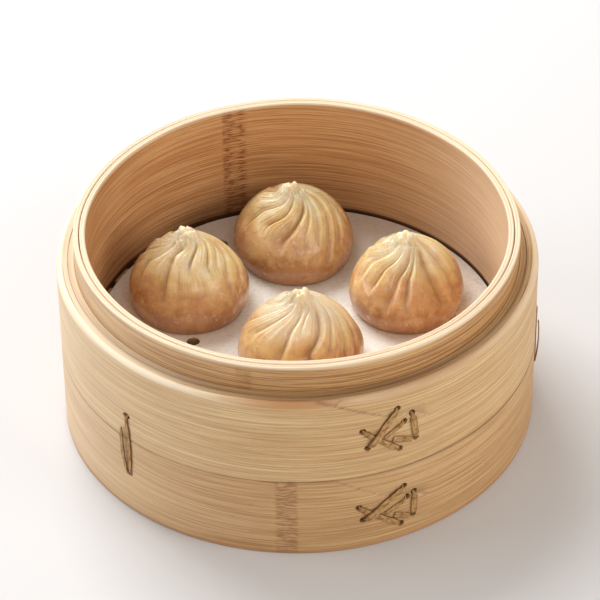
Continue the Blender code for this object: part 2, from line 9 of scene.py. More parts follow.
import bmesh
import bpy
import numpy as np
from mathutils import Matrix, Vector


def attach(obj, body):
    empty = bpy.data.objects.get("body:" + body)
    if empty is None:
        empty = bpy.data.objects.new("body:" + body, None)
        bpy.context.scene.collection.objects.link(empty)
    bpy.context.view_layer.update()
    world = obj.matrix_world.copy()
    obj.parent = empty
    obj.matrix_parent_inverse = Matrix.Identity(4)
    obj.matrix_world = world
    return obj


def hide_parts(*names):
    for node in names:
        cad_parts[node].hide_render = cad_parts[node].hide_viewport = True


MM = 0.001
GAP = 0.3
SHARP_ANGLE = 40.0

# The basket, as in the part
BAND_RADIUS = 90.0
LIP_RADIUS = 83.0
INNER_RADIUS = 78.5
PLY = 2.2
BASKET_HEIGHT = 82.0
LEDGE_HEIGHT = 71.0
SEAM_HEIGHT = 34.5
EDGE_ROUND = 2.4
BAND_PLIES = (87.75, 85.5)
LIP_PLY = 82.05
INNER_PLY = 79.75
WALL_FOOT = 12.0
LINER_TOP = 31.8
LINER_THICKNESS = 0.5
LINER_RADIUS = 77.3
LINER_SHIFT = 0.6
LINER_HOLE_RADIUS = 2.5
LINER_HOLES = ((-39.8, -5.7), (-29.7, 54.8))
SLAT_COUNT = 13
# The turn from one mesh column to the next: in the plies, in the bands and over the bands' lapped ends
PLY_TURN = 0.75
BAND_TURN = 1.0
LAP_TURN = 0.16

# The cane, as in the part
CANE_SIDES = 14
CANE_THICKNESS = 0.5
CANE_END_WIDTH = 1.0
CANE_HOLE_RADIUS = 1.5
CANE_HOLE_DEPTH = 3.0
CANE_DIP = 1.2
CANE_BEND = 1.2
CANE_CROSSING = 3.0
HUMP_FLAT = 0.6
LACING_AZIMUTH = 291.2
UPPER_HOLES = {"a": (-10.5, 2.7), "b": (-8.6, -5.4), "c": (2.8, 9.5), "d": (8.7, 5.4), "e": (10.2, -6.4),
               "f": (3.7, -9.2), "g": (5.4, 3.0)}
LOWER_HOLES = {"a": (-11.8, 3.7), "b": (-10.2, -2.5), "c": (5.8, 8.8), "d": (10.0, 4.4), "e": (9.6, -6.2),
               "f": (4.6, -8.8), "g": (7.0, 3.0)}
LACING_STRIPS = (("b", "c", True, 2.6), ("a", "f", False, 2.3), ("d", "e", False, 2.3))
UPPER_LOOSE_STRIPS = (("g", (-2.0, -2.0), 1.6), ((8.3, -6.25), (1.0, -3.6), 2.3))
LOWER_LOOSE_STRIPS = (("g", (-1.8, -1.6), 1.6), ((7.6, -5.9), (1.8, -3.4), 2.3))
# Each lacing: its name, its height, its holes and its loose strips
LACINGS = (("upper_lacing", 53.0, UPPER_HOLES, UPPER_LOOSE_STRIPS),
           ("lower_lacing", 16.0, LOWER_HOLES, LOWER_LOOSE_STRIPS))
STITCHES = (("left", 226.0), ("right", 358.0), ("back_right", 74.0), ("back_left", 150.0))
STITCH_TOP = 45.5
STITCH_FOOT = 18.0
STITCH_LENGTH = STITCH_TOP - STITCH_FOOT
STITCH_END_WIDTH = 1.1
STITCH_SLOT_STRETCH = 1.35
TIED_STRAND = ((0.0, 0.0), (0.5, 0.9), (1.0, 0.75))
FREE_STRAND = ((0.22, -2.0), (0.5, -1.7), (0.73, -1.45), (1.0, -0.7))
TIED_WIDTH = 1.9
FREE_WIDTH = 1.7
FREE_TIP_WIDTH = 0.8
FREE_BULGE = 1.0

# The end of each band's outer winding: its edge as (azimuth, height)
UPPER_LAP = ((273.1, 71.3), (277.8, 69.6), (290.1, 60.6), (297.6, 57.5), (301.4, 54.4))
UPPER_LAP_FORK = ((277.8, 69.6), (281.2, 71.6))
LOWER_LAP = ((276.5, 35.0), (278.3, 34.0), (290.0, 22.8), (298.0, 18.6), (302.0, 15.6))
LAP_AZIMUTHS = (268.0, 306.0)
LAP_STEP_WIDTH = 1.1
LAP_STEP_DEPTH = 0.42
LAP_STEP_FADE = 7.0
CRACK_WIDTH = 0.45

# The dumplings: their outer form as in the part
OVAL = 0.016
THREE_SIDED = 0.010
POLAR_END = 112.0
PROFILE_POWER = 1.18
WAIST = 0.22
SWEEP_POWER = 1.5
KNOT_RADIUS = 5.0
KNOT_HEIGHT = 2.0
KNOT_SPREAD = 1.6
KNOT_SHARE = 0.72
TATTERS = 75
TATTER_REACH = 5.4
FULL_DEPTH_RADIUS = 11.0
FOLD_STEEP = 0.9
FOLD_GENTLE = 3.0
FOLD_WIDTH_RADIUS = 20.0
CREST_OFFSET = 1.9
CREST_SHARE = 0.13
WAY_START = 14.0
WAY_SWIRL = 1.5
WAY_SPACING = 9.0
WAY_STEPS = 141

# Each fold: its depth, a softness that widens it, and the polar angle and azimuth of its start, middle
# and end
LEFT_FOLDS = (
    (0.9, 1.0, (14, 216), (43, 197), (64, 204)), (1.8, 1.3, (14, 278), (25, 240), (66, 243)),
    (2.0, 0.9, (16, 328), (26, 290), (36, 276)), (1.6, 0.8, (22, 360), (30, 328), (40, 308)),
    (0.8, 0.9, (29, 372), (36, 339), (43, 322)), (1.1, 1.2, (36, 369), (55, 326), (74, 306)),
    (0.9, 1.2, (36, 394), (50, 371), (70, 346)))
BACK_FOLDS = (
    (1.7, 1.0, (12, 176), (20, 161), (30, 154)), (0.9, 1.2, (32, 180), (48, 178), (66, 184)),
    (1.7, 1.0, (14, 255), (34, 205), (54, 196)), (2.1, 0.9, (17, 274), (30, 257), (43, 230)),
    (2.5, 1.3, (22, 308), (38, 278), (54, 257)), (1.0, 0.8, (28, 312), (38, 298), (50, 284)),
    (0.9, 0.9, (30, 326), (42, 313), (58, 298)), (1.4, 1.1, (32, 355), (56, 318), (80, 297)),
    (0.9, 1.2, (42, 378), (54, 348), (68, 326)))
RIGHT_FOLDS = (
    (0.9, 1.2, (44, 180), (60, 183), (72, 190)), (1.3, 1.0, (22, 208), (38, 197), (58, 200)),
    (2.0, 1.0, (24, 247), (38, 227), (56, 223)), (2.5, 1.5, (22, 282), (42, 256), (68, 248)),
    (1.9, 1.2, (30, 286), (44, 272), (62, 268)), (2.5, 1.8, (28, 315), (40, 308), (74, 309)),
    (1.4, 1.4, (32, 348), (46, 338), (74, 334)))
FRONT_FOLDS = (
    (0.8, 1.0, (26, 168), (46, 149), (70, 140)), (1.3, 1.0, (11, 214), (30, 193), (65, 166)),
    (1.9, 0.9, (14, 242), (28, 224), (54, 200)), (2.2, 1.2, (20, 272), (36, 253), (60, 247)),
    (1.0, 0.8, (18, 304), (24, 284), (34, 272)), (2.6, 1.4, (27, 319), (42, 301), (58, 276)),
    (0.9, 0.8, (26, 352), (44, 320), (62, 300)), (0.9, 0.8, (32, 366), (50, 338), (70, 320)),
    (0.9, 0.8, (40, 374), (56, 354), (80, 334)))
# On the side away from the lacings the folds are evenly spaced
REST_SWEEP = 90.0
REST_DEPTH = 0.6
REST_REACH = 64.0
REST_JITTER = 6.0

# The humps of each knot: place beside the knot's middle, size and rise
LEFT_KNOT = ((-0.7, 0.6, 1.5, 2.6), (2.9, 0.8, 1.4, 2.6), (1.3, -1.4, 1.8, 1.6), (1.3, 2.2, 1.4, 2.0))
BACK_KNOT = ((1.5, 0.2, 1.2, 3.0), (-0.7, -0.2, 1.7, 2.3), (-3.0, 0.2, 1.5, 1.4))
RIGHT_KNOT = ((-1.9, 0.3, 1.6, 2.6), (2.4, 0.2, 1.5, 2.7), (0.4, 0.9, 1.5, 2.2), (-6.4, 1.0, 1.5, 2.2))
FRONT_KNOT = ((-1.9, 0.2, 1.3, 3.2), (1.8, 0.1, 1.2, 3.9), (0.1, -0.9, 1.8, 2.4), (-5.0, 1.0, 1.3, 1.8))

# Where fine pleats show: azimuth, half its width, polar angles and strength
LEFT_PLEATS = ((176, 30, 12, 52, 1.0), (262, 24, 16, 38, 0.9), (345, 26, 20, 60, 0.5), (80, 60, 10, 50, 0.6))
BACK_PLEATS = ((190, 26, 20, 50, 0.7), (30, 40, 16, 60, 1.0), (318, 22, 22, 62, 0.6), (100, 50, 10, 50, 0.6))
RIGHT_PLEATS = ((262, 16, 26, 46, 0.8), (180, 34, 12, 48, 0.7), (20, 40, 16, 56, 0.7), (100, 50, 10, 50, 0.6))
FRONT_PLEATS = ((192, 46, 8, 46, 1.0), (338, 36, 20, 84, 0.9), (80, 60, 10, 50, 0.6))
# Rest is the first and last azimuth and the number of the evenly spaced folds. Bulges have azimuth, polar
# angle, size and rise. Shade darkens the whole dough, and cream pales its top.
Dumpling = namedtuple(
    "Dumpling", "name place radius height folds rest lean phase knot pleats bulges shade cream")
DUMPLINGS = (
    Dumpling("left", (-41.7, 18.6), 22.8, 31.0, LEFT_FOLDS, (16, 158, 6), (-0.6, 0.4), 0.5, LEFT_KNOT,
             LEFT_PLEATS, ((186, 64, 14, 0.7), (232, 38, 12, 0.5)), 0.18, 0.12),
    Dumpling("back", (-1.2, 49.3), 23.8, 29.0, BACK_FOLDS, (352, 446, 4), (-0.8, 0.6), 2.1, BACK_KNOT,
             BACK_PLEATS, ((176, 37, 12, 1.4), (268, 68, 20, 0.5)), 0.22, 0.0),
    Dumpling("right", (41.9, 17.3), 22.3, 28.6, RIGHT_FOLDS, (360, 505, 6), (-0.8, 0.5), 3.7, RIGHT_KNOT,
             RIGHT_PLEATS, ((170, 30, 9, 0.9), (188, 50, 12, 0.8), (330, 60, 14, 0.6)), 0.0, 0.2),
    Dumpling("front", (0.9, -18.3), 23.4, 29.6, FRONT_FOLDS, (8, 100, 4), (0.2, 0.4), 5.2, FRONT_KNOT,
             FRONT_PLEATS, ((172, 48, 14, 0.6), (215, 44, 12, 0.5), (262, 40, 10, 0.5)), 0.06, 0.65),
)
SKIN_COLUMNS = 380
SKIN_ROWS = 138

# Light and camera: each light's name, place, size, power and colour, in metres and watts
ROOM_COLOUR = (1.0, 0.94, 0.88, 1.0)
ROOM_LIGHT = 0.50
LIGHTS_AIM = (0.0, 0.0, 0.03)
LIGHTS = (
    ("key", (-0.5, 0.85, 1.05), 0.9, 23.0, (0.97, 0.985, 1.0)),
    ("left", (-1.3, 0.0, 0.6), 0.8, 6.5, (0.86, 0.94, 1.0)),
    ("front", (0.35, -1.2, 0.95), 0.35, 1.5, (1.0, 0.99, 0.97)),
    ("fill", (1.2, -0.6, 0.7), 0.8, 7.3, (1.0, 0.97, 0.92)),
)
CAMERA_AIM = (0.00091, 0.0, 0.04657)
CAMERA_DISTANCE = 1.2
CAMERA_ELEVATION = 38.51
CAMERA_LENS = 190.5
CAMERA_ROLL = -0.69


# Small tools

def srgb(red, green, blue):
    """A colour given as 0 to 255 on screen, as the shaders take it."""
    shares = (red / 255, green / 255, blue / 255)
    return tuple(s / 12.92 if s <= 0.04045 else ((s + 0.055) / 1.055) ** 2.4 for s in shares) + (1.0,)


def ease(value):
    """Runs smoothly from 0 to 1, and stays there, as value does."""
    value = np.clip(value, 0.0, 1.0)
    return value * value * (3.0 - 2.0 * value)


def bell(value, middle, width):
    return np.exp(-((value - middle) / width) ** 2)


def angle_from(azimuth, middle):
    """The angle from middle to azimuth, within half a turn either way."""
    return (azimuth - middle + 180.0) % 360.0 - 180.0


def mound(x, y, size):
    return np.exp(-(x ** 2 + y ** 2) / size ** 2)


def waves(azimuth, seed, counts, size):
    """Smooth unevenness round the basket, in millimetres, that closes after one turn."""
    chance = random.Random(seed)
    total = 0.0 * azimuth
    for count in counts:
        share = chance.uniform(0.5, 1.0)
        total = total + share * np.sin(np.radians(count * azimuth + chance.uniform(0, 360)))
    return size * total / math.sqrt(len(counts))


def outward_at(azimuth):
    angle = math.radians(azimuth)
    return Vector((math.cos(angle), math.sin(angle), 0.0))


def add_object(name, data):
    item = bpy.data.objects.new(name, data)
    bpy.context.scene.collection.objects.link(item)
    return item


def mesh_object(name, verts, faces, material):
    """Makes an object from vertices in millimetres."""
    mesh = bpy.data.meshes.new(name)
    verts = np.asarray(verts, dtype=float) * MM
    mesh.vertices.add(len(verts))
    mesh.vertices.foreach_set("co", verts.ravel())
    faces = np.asarray(faces, dtype=np.int32)
    mesh.loops.add(faces.size)
    mesh.loops.foreach_set("vertex_index", faces.ravel())
    mesh.polygons.add(len(faces))
    starts = np.arange(0, faces.size, faces.shape[1], dtype=np.int32)
    mesh.polygons.foreach_set("loop_start", starts)
    mesh.update(calc_edges=True)
    mesh.validate()
    mesh.materials.append(material)
    mesh.shade_smooth()
    return add_object(name, mesh)


def add_values(item, name, values):
    """Keeps one number for each vertex, for the materials to read."""
    attribute = item.data.attributes.new(name, "FLOAT", "POINT")
    attribute.data.foreach_set("value", np.asarray(values, dtype=np.float32))


def tube_faces(columns, rows, wrap_columns=True, wrap_rows=True):
    """Squares over a grid of vertices numbered column by column."""
    i = np.arange(columns if wrap_columns else columns - 1)
    j = np.arange(rows if wrap_rows else rows - 1)
    i, j = (grid.ravel() for grid in np.meshgrid(i, j, indexing="ij"))
    i2 = (i + 1) % columns
    j2 = (j + 1) % rows
    return np.stack((i * rows + j, i2 * rows + j, i2 * rows + j2, i * rows + j2), axis=1)


def close_up(item, faces):
    """Adds the faces that shut a mesh, and turns all its faces outward."""
    shape = bmesh.new()
    shape.from_mesh(item.data)
    shape.verts.ensure_lookup_table()
    for face in faces:
        shape.faces.new([shape.verts[i] for i in face])
    bmesh.ops.recalc_face_normals(shape, faces=shape.faces)
    shape.to_mesh(item.data)
    shape.free()
    item.data.shade_smooth()


def add_cone(shape, segments, radius1, radius2, depth, matrix):
    return bmesh.ops.create_cone(shape, cap_ends=True, segments=segments, radius1=radius1, radius2=radius2,
                                 depth=depth, matrix=matrix)["verts"]


def cut_away(item, shape):
    """Takes the closed forms of shape, which are in millimetres, out of an object."""
    bmesh.ops.scale(shape, vec=(MM, MM, MM), verts=shape.verts)
    mesh = bpy.data.meshes.new(item.name + "_holes")
    shape.to_mesh(mesh)
    shape.free()
    cutter = add_object(item.name + "_holes", mesh)
    cut = item.modifiers.new("holes", "BOOLEAN")
    cut.operation = "DIFFERENCE"
    cut.solver = "EXACT"
    cut.object = cutter
    depsgraph = bpy.context.evaluated_depsgraph_get()
    mesh = bpy.data.meshes.new_from_object(item.evaluated_get(depsgraph))
    item.modifiers.clear()
    material = item.data.materials[0]
    item.data = mesh
    bpy.data.objects.remove(cutter, do_unlink=True)
    mesh.materials.clear()
    mesh.materials.append(material)
    mesh.shade_smooth()
    mesh.set_sharp_from_angle(angle=math.radians(SHARP_ANGLE))


def finish_piece(item, body_nodes):
    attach(item, "root")
    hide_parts(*body_nodes)


# Materials

SHADER_INPUTS = {
    "colour": "Base Color", "rough": "Roughness", "specular": "Specular IOR Level", "coat": "Coat Weight",
    "coat_rough": "Coat Roughness", "subsurface": "Subsurface Weight", "radius": "Subsurface Radius",
    "scale": "Subsurface Scale"}
# Where the Mix node keeps its share, its two colours and its resulting colour
MIX_SHARE, MIX_FIRST, MIX_SECOND, MIX_RESULT = 0, 6, 7, 2
SEED_SHIFT = 0.37
# Mark colours: brown for nodes; brown for browner edges, partly painted shade; dark brown for cracks, joints
# and painted shade; pale bamboo for cut edges and painted light.
NODE_BROWN = srgb(132, 72, 34)
EDGE_BROWN_AND_SHADE = srgb(188, 124, 70)
CRACK_AND_SHADE_BROWN = srgb(84, 48, 26)
PALE_AND_LIT_BAMBOO = (srgb(234, 207, 170), srgb(252, 239, 217))


class Value:
    """A number, place or colour that a material works out, with the arithmetic of numbers."""

    def __init__(self, net, socket):
        self.net = net
        self.socket = socket

    def __add__(self, other):
        return self.net.math("ADD", self, other)

    def __sub__(self, other):
        return self.net.math("SUBTRACT", self, other)

    def __rsub__(self, other):
        return self.net.math("SUBTRACT", other, self)

    def __mul__(self, other):
        return self.net.math("MULTIPLY", self, other)


class Net:
    """A material being put together."""

    def __init__(self, name):
        self.material = bpy.data.materials.new(name)
        self.material.use_nodes = True
        self.tree = self.material.node_tree
        self.shader = self.tree.nodes["Principled BSDF"]

    def feed(self, socket, value):
        if isinstance(value, Value):
            self.tree.links.new(value.socket, socket)
        else:
            socket.default_value = value

    def make(self, kind, inputs, output=0, **settings):
        """Adds a node, feeds its inputs, given by name or number, and returns one of its outputs."""
        item = self.tree.nodes.new("ShaderNode" + kind)
        for key, value in settings.items():
            setattr(item, key, value)
        for key, value in inputs.items():
            self.feed(item.inputs[key], value)
        return Value(self, item.outputs[output])

    def math(self, operation, *values):
        return self.make("Math", dict(enumerate(values)), operation=operation)

    def place(self):
        """X, Y and Z of the point being shaded, in metres."""
        split = self.make("SeparateXYZ", {0: self.make("TexCoord", {}, "Object")})
        return [Value(self, output) for output in split.socket.node.outputs]

    def vector(self, x, y, z):
        return self.make("CombineXYZ", {0: x, 1: y, 2: z})

    def noise(self, vector, scale=1.0, detail=2.0, roughness=0.5):
        inputs = {"Vector": vector, "Scale": scale, "Detail": detail, "Roughness": roughness}
        return self.make("TexNoise", inputs, "Fac")

    def span(self, value, low, high):
        """Runs smoothly from 0 to 1 as value goes from low to high."""
        inputs = {"Value": value, "From Min": low, "From Max": high}
        return self.make("MapRange", inputs, "Result", interpolation_type="SMOOTHSTEP")

    def mix(self, share, first, second):
        """Goes from the first colour to the second as share goes from 0 to 1."""
        inputs = {MIX_SHARE: share, MIX_FIRST: first, MIX_SECOND: second}
        return self.make("Mix", inputs, MIX_RESULT, data_type="RGBA")

    def ramp(self, value, stops):
        colour = self.make("ValToRGB", {"Fac": value}, "Color")
        elements = colour.socket.node.color_ramp.elements
        while len(elements) < len(stops):
            elements.new(0.5)
        for element, (spot, stop) in zip(elements, stops):
            element.position = spot
            element.color = stop
        return colour

    def value_of(self, name):
        return self.make("Attribute", {}, "Fac", attribute_name=name)

    def bump(self, height, distance, strength):
        inputs = {"Height": height, "Distance": distance, "Strength": strength}
        self.feed(self.shader.inputs["Normal"], self.make("Bump", inputs, "Normal"))

    def set(self, **values):
        for key, value in values.items():
            self.feed(self.shader.inputs[SHADER_INPUTS[key]], value)


def bamboo(name, stops, seed, run="round", line_share=0.5):
    """Split bamboo with its fibres round the basket, or along "x" or "y"."""
    net = Net(name)
    x, y, z = net.place()
    shift = seed * SEED_SHIFT
    if run == "round":
        layer = z + net.math("SQRT", x * x + y * y) + x * 0.012 + y * -0.009 + shift

    def stretched(along, across):
        """The place, with a scale of its own along the fibres and across them."""
        if run == "round":
            return net.vector(x * along, y * along, layer * across)
        if run == "x":
            return net.vector((x + shift) * along, y * across, z * across)
        return net.vector(x * across, (y + shift) * along, z * across)

    hairs = net.noise(stretched(40.0, 4200.0), detail=1.0)
    lines = net.noise(stretched(22.0, 2300.0), detail=1.0)
    streaks = net.noise(stretched(13.0, 1400.0), roughness=0.6)
    tone = net.noise(stretched(12.0, 70.0), detail=3.0, roughness=0.6)
    dashes = net.noise(stretched(150.0, 3600.0), roughness=0.6)
    blend = hairs * 0.40 + streaks * 0.40 + tone * 0.20
    colour = net.ramp(blend, [(0.32, stops[0]), (0.50, stops[1]), (0.66, stops[2])])
    thin = net.span(lines, 0.54, 0.60) * (streaks * 1.5 + 0.15)
    colour = net.mix(thin * line_share, colour, stops[0])
    dark = tuple(part * 0.5 for part in stops[0][:3]) + (1.0,)
    colour = net.mix(net.span(dashes, 0.60, 0.72) * 0.3, colour, dark)
    light = net.span(1.0 - lines, 0.58, 0.68)
    colour = net.mix(light * (0.5 * line_share), colour, stops[2])
    height = hairs * 0.5 + streaks * 0.5 - thin * 0.5 - dashes * 0.2
    if run == "round":
        knots = net.value_of("node")
        wavy = layer + net.noise(stretched(260.0, 200.0), detail=1.0) * 0.0018
        bars = net.noise(net.vector(x * 190.0, y * 190.0, wavy * 1500.0), roughness=0.6)
        colour = net.mix(knots * 0.20, colour, stops[0])
        colour = net.mix(net.span(bars, 0.44, 0.58) * knots, colour, NODE_BROWN)
        colour = net.mix(net.span(1.0 - bars, 0.56, 0.66) * knots * 0.35, colour, stops[2])
        height = height - knots * bars * 1.2
    # Pale cut edges and painted light; browner edges, partly painted shade; darker cracks and joints, and
    # painted shade.
    colour = net.mix(net.value_of("pale"), colour, net.mix(streaks, *PALE_AND_LIT_BAMBOO))
    colour = net.mix(net.value_of("tint"), colour, EDGE_BROWN_AND_SHADE)
    colour = net.mix(net.value_of("crack"), colour, CRACK_AND_SHADE_BROWN)
    net.set(colour=colour, rough=streaks * 0.12 + 0.48, specular=0.45)
    net.bump(height, 0.00012, 0.8)
    return net.material


def make_materials():
    band = (srgb(182, 138, 88), srgb(216, 178, 126), srgb(236, 206, 160))
    band_low = (srgb(172, 124, 76), srgb(205, 162, 111), srgb(227, 192, 143))
    inner = (srgb(166, 108, 60), srgb(206, 154, 100), srgb(228, 186, 136))
    lip = (srgb(156, 104, 57), srgb(205, 158, 103), srgb(229, 189, 137))
    floor = (srgb(160, 118, 74), srgb(196, 156, 106), srgb(220, 184, 136))
    return {
        "inner": bamboo("bamboo_inner_wall", inner, 1.0, line_share=0.6),
        "lip": bamboo("bamboo_lip", lip, 2.0, line_share=0.8),
        "upper": bamboo("bamboo_upper_band", band, 3.0),
        "lower": bamboo("bamboo_lower_band", band_low, 4.0),
        "hoop": bamboo("bamboo_hoop", floor, 5.0),
        "batten": bamboo("bamboo_battens", floor, 6.0, run="y"),
        "slat": bamboo("bamboo_slats", floor, 7.0, run="x"),
        "paper": paper_material(),
        "cane": cane_material(),
        "skin": skin_material(),
    }


def paper_material():
    """Fibrous paper, with a painted shadow of the back wall that browns it towards the back."""
    net = Net("liner_paper")
    x, y, z = net.place()
    spot = net.vector(x, y, z)
    speckle = net.noise(spot, scale=900.0, detail=3.0, roughness=0.6)
    cloud = net.noise(spot, scale=60.0, detail=3.0)
    stops = [(0.32, srgb(226, 218, 206)), (0.5, srgb(246, 239, 228)), (0.68, srgb(252, 248, 240))]
    colour = net.ramp(speckle * 0.6 + cloud * 0.4, stops)
    # Painted shadow of the back wall, which browns the paper towards the back.
    back_wall_shadow = net.span(y + cloud * 0.012, 0.030, 0.072)
    colour = net.mix(back_wall_shadow * 0.42, colour, srgb(170, 146, 120))
    net.set(colour=colour, rough=0.75, specular=0.25, subsurface=0.15, radius=(1.0, 0.8, 0.6), scale=0.001)
    net.bump(speckle, 0.0001, 0.5)
    return net.material


def cane_material():
    """Dry flat cane, streaked along its length, with painted shade along its edges."""
    net = Net("cane_fibre")
    along = net.value_of("along")
    across = net.value_of("across")
    streak = net.noise(net.vector(along * 0.22, across * 5.5, 0.0), detail=3.0, roughness=0.6)
    patch = net.noise(net.vector(along * 0.5, across * 0.8, 3.0))
    stops = [(0.36, srgb(96, 60, 28)), (0.48, srgb(168, 124, 72)), (0.62, srgb(214, 174, 122))]
    colour = net.ramp(streak * 0.65 + patch * 0.35, stops)
    # Painted shade along both edges, stronger along one.
    edge = net.span(across * -1.0, 0.70, 1.0) + net.span(across, 0.85, 1.0) * 0.5
    colour = net.mix(edge * (patch + 0.35), colour, srgb(72, 38, 14))
    net.set(colour=colour, rough=0.6, specular=0.3)
    net.bump(streak, 0.0002, 0.8)
    return net.material


def skin_material():
    """Thin steamed dough: browner low down, paler at the knot, mottled and moist, with painted shade in its
    folds.
    """
    net = Net("steamed_dough")
    spot = net.vector(*net.place())
    rise = net.value_of("rise")
    cloud = net.noise(spot, scale=85.0, detail=4.0, roughness=0.6)
    mottle = net.noise(spot, scale=300.0, detail=3.0, roughness=0.6)
    grain = net.noise(spot, scale=1500.0)
    way = net.vector(net.value_of("swirl_x") * 17.0, net.value_of("swirl_y") * 17.0,
                     net.value_of("down") * 2.6)
    lines = (net.noise(way) - 0.5) * net.value_of("pleats")
    # The crests pale the colour a little: partly doubled dough and partly a painted highlight.
    height = rise + (cloud - 0.5) * 0.85 + (mottle - 0.5) * 0.70 + lines * 0.6 + net.value_of("crest") * 0.06
    stops = [(0.0, srgb(166, 117, 74)), (0.26, srgb(192, 144, 95)), (0.50, srgb(225, 186, 133)),
             (0.68, srgb(237, 208, 144)), (0.85, srgb(243, 221, 163)), (1.0, srgb(248, 235, 198))]
    colour = net.ramp(height, stops)
    wet = net.span(net.noise(spot, scale=55.0), 0.5, 0.62)
    colour = net.mix(wet * 0.3, colour, srgb(210, 154, 114))
    flecks = net.span(net.noise(spot, scale=430.0), 0.60, 0.72)
    colour = net.mix(flecks * 0.35, colour, srgb(250, 236, 210))
    # Painted shade in the folds.
    colour = net.mix(net.value_of("hollow") * 0.45, colour, srgb(182, 120, 64))
    colour = net.mix(net.value_of("cream") * net.span(rise, 0.55, 0.92), colour, srgb(249, 238, 214))
    colour = net.mix(net.value_of("knot") * 0.65, colour, srgb(248, 239, 204))
    colour = net.mix(net.value_of("shade"), colour, srgb(140, 92, 52))
    net.set(colour=colour, rough=cloud * 0.2 + 0.22, specular=0.5, subsurface=0.7,
            radius=(1.0, 0.66, 0.38), scale=0.0038, coat=0.5, coat_rough=0.12)
    net.bump(grain * 0.10 + mottle * 0.8 + cloud * 1.2 + lines * 2.8, 0.0006, 0.9)
    return net.material


# The basket

def arc_to_azimuth(distance):
    return math.degrees(distance / BAND_RADIUS)


def line_offset(azimuth, height, line):
    """Distance to a line drawn on the outside of a band, and the same with a sign, positive above it."""
    s = np.radians(azimuth) * BAND_RADIUS
    nearest = np.full(azimuth.shape, 1e6)
    signed = nearest
    for (a1, z1), (a2, z2) in zip(line, line[1:]):
        s1, s2 = math.radians(a1) * BAND_RADIUS, math.radians(a2) * BAND_RADIUS
        run = np.array((s2 - s1, z2 - z1))
        share = np.clip(((s - s1) * run[0] + (height - z1) * run[1]) / (run @ run), 0.0, 1.0)
        off_s = s - s1 - share * run[0]
        off_z = height - z1 - share * run[1]
        gap = np.hypot(off_s, off_z)
        closer = gap < nearest
        nearest = np.where(closer, gap, nearest)
        signed = np.where(closer, gap * np.sign(run[0] * off_z - run[1] * off_s + 1e-9), signed)
    return nearest, signed


def lap_relief(azimuth, height, line):
    """The step down above the edge of a band's outer winding, and the strength of the crack along it."""
    nearest, signed = line_offset(azimuth, height, line)
    above = bell(np.maximum(signed, 0.0), 0.0, LAP_STEP_FADE)
    step = -LAP_STEP_DEPTH * ease(signed / LAP_STEP_WIDTH + 0.5) * above
    fade = ease((azimuth - line[0][0]) / 2.0) * ease((line[-1][0] + 1.0 - azimuth) / 3.0)
    return step * fade, bell(nearest, 0.0, CRACK_WIDTH)


def corner(radius, height, size, start, steps):
    """A rounded corner of an outline: centre, radius and first angle in degrees, a quarter turn on."""
    angles = [math.radians(start + 90.0 * k / steps) for k in range(steps + 1)]
    return [(radius + size * math.cos(angle), height + size * math.sin(angle)) for angle in angles]


def groove(radius, height, width, depth):
    """Points of a fine groove in a top face, going inward."""
    steps = ((width, 0.0), (width * 0.3, depth), (-width * 0.3, depth), (-width, 0.0))
    return [(radius + across, height - down) for across, down in steps]


def ring_object(name, azimuth, outline, material):
    """A closed ring from outline points, each a pair of arrays over the azimuths, going anticlockwise."""
    radius, height = (np.stack([np.broadcast_to(part, azimuth.shape) for part in parts], axis=1)
                      for parts in zip(*outline))
    angle = np.radians(azimuth)[:, None]
    verts = np.stack((radius * np.cos(angle), radius * np.sin(angle), height), axis=2)
    return mesh_object(name, verts.reshape(-1, 3), tube_faces(len(azimuth), len(outline)), material)


def band_outline(azimuth, low, high, low_edge, high_edge, line, plies, seed):
    """Outline of a wound band between two heights, which are arrays over the azimuths."""
    outside = BAND_RADIUS + waves(azimuth, "round", (2, 3, 5, 9), 0.16)
    inside = LIP_RADIUS + 0.08
    points = [(inside, low), (inside + 3.0, low)]
    points += [(outside + r, low + z) for r, z in corner(-low_edge, low_edge, low_edge, -90.0, 4)]
    first = low + low_edge
    last = high - high_edge
    for share in np.concatenate((np.linspace(0.0, 0.42, 20), np.linspace(0.44, 1.0, 84))):
        z = first + (last - first) * share
        points.append((outside + lap_relief(azimuth, z, line)[0], z))
    relief, _ = lap_relief(azimuth, last, line)
    points += [(outside + relief + r, high + z) for r, z in corner(-high_edge, -high_edge, high_edge, 0.0, 5)]
    for k, radius in enumerate(plies):
        drift = radius + waves(azimuth, f"{seed} groove {k}", (1, 2, 4, 7), 0.28)
        step = waves(azimuth, f"{seed} step {k}", (1, 3, 5), 0.12)
        depth = 0.35 + waves(azimuth, f"{seed} depth {k}", (2, 5, 11), 0.16)
        points += groove(drift, high + step, 0.16, depth)
    points += [(inside + 0.2, high), (inside, high - 0.2), (inside, (low + high) / 2)]
    return points


def cut_holes(item, places):
    """Cuts the blind holes of the cane into a band."""
    shape = bmesh.new()
    chance = random.Random(item.name)
    up = Vector((0.0, 0.0, 1.0))
    for azimuth, height, stretch in places:
        outward = outward_at(azimuth)
        turn = Matrix((up.cross(outward) * stretch, up, outward)).transposed().to_4x4()
        middle = outward * BAND_RADIUS + up * height
        for vertex in add_cone(shape, 20, CANE_HOLE_RADIUS * 0.8, CANE_HOLE_RADIUS, 2.0 * CANE_HOLE_DEPTH,
                               Matrix.Translation(middle) @ turn):
            away = vertex.co - middle
            vertex.co = middle + away * chance.uniform(0.96, 1.05)
    cut_away(item, shape)


def vertex_places(item):
    """Azimuth, height and radius of each vertex."""
    co = np.empty(len(item.data.vertices) * 3)
    item.data.vertices.foreach_get("co", co)
    co = co.reshape(-1, 3) / MM
    return np.degrees(np.arctan2(co[:, 1], co[:, 0])) % 360.0, co[:, 2], np.hypot(co[:, 0], co[:, 1])


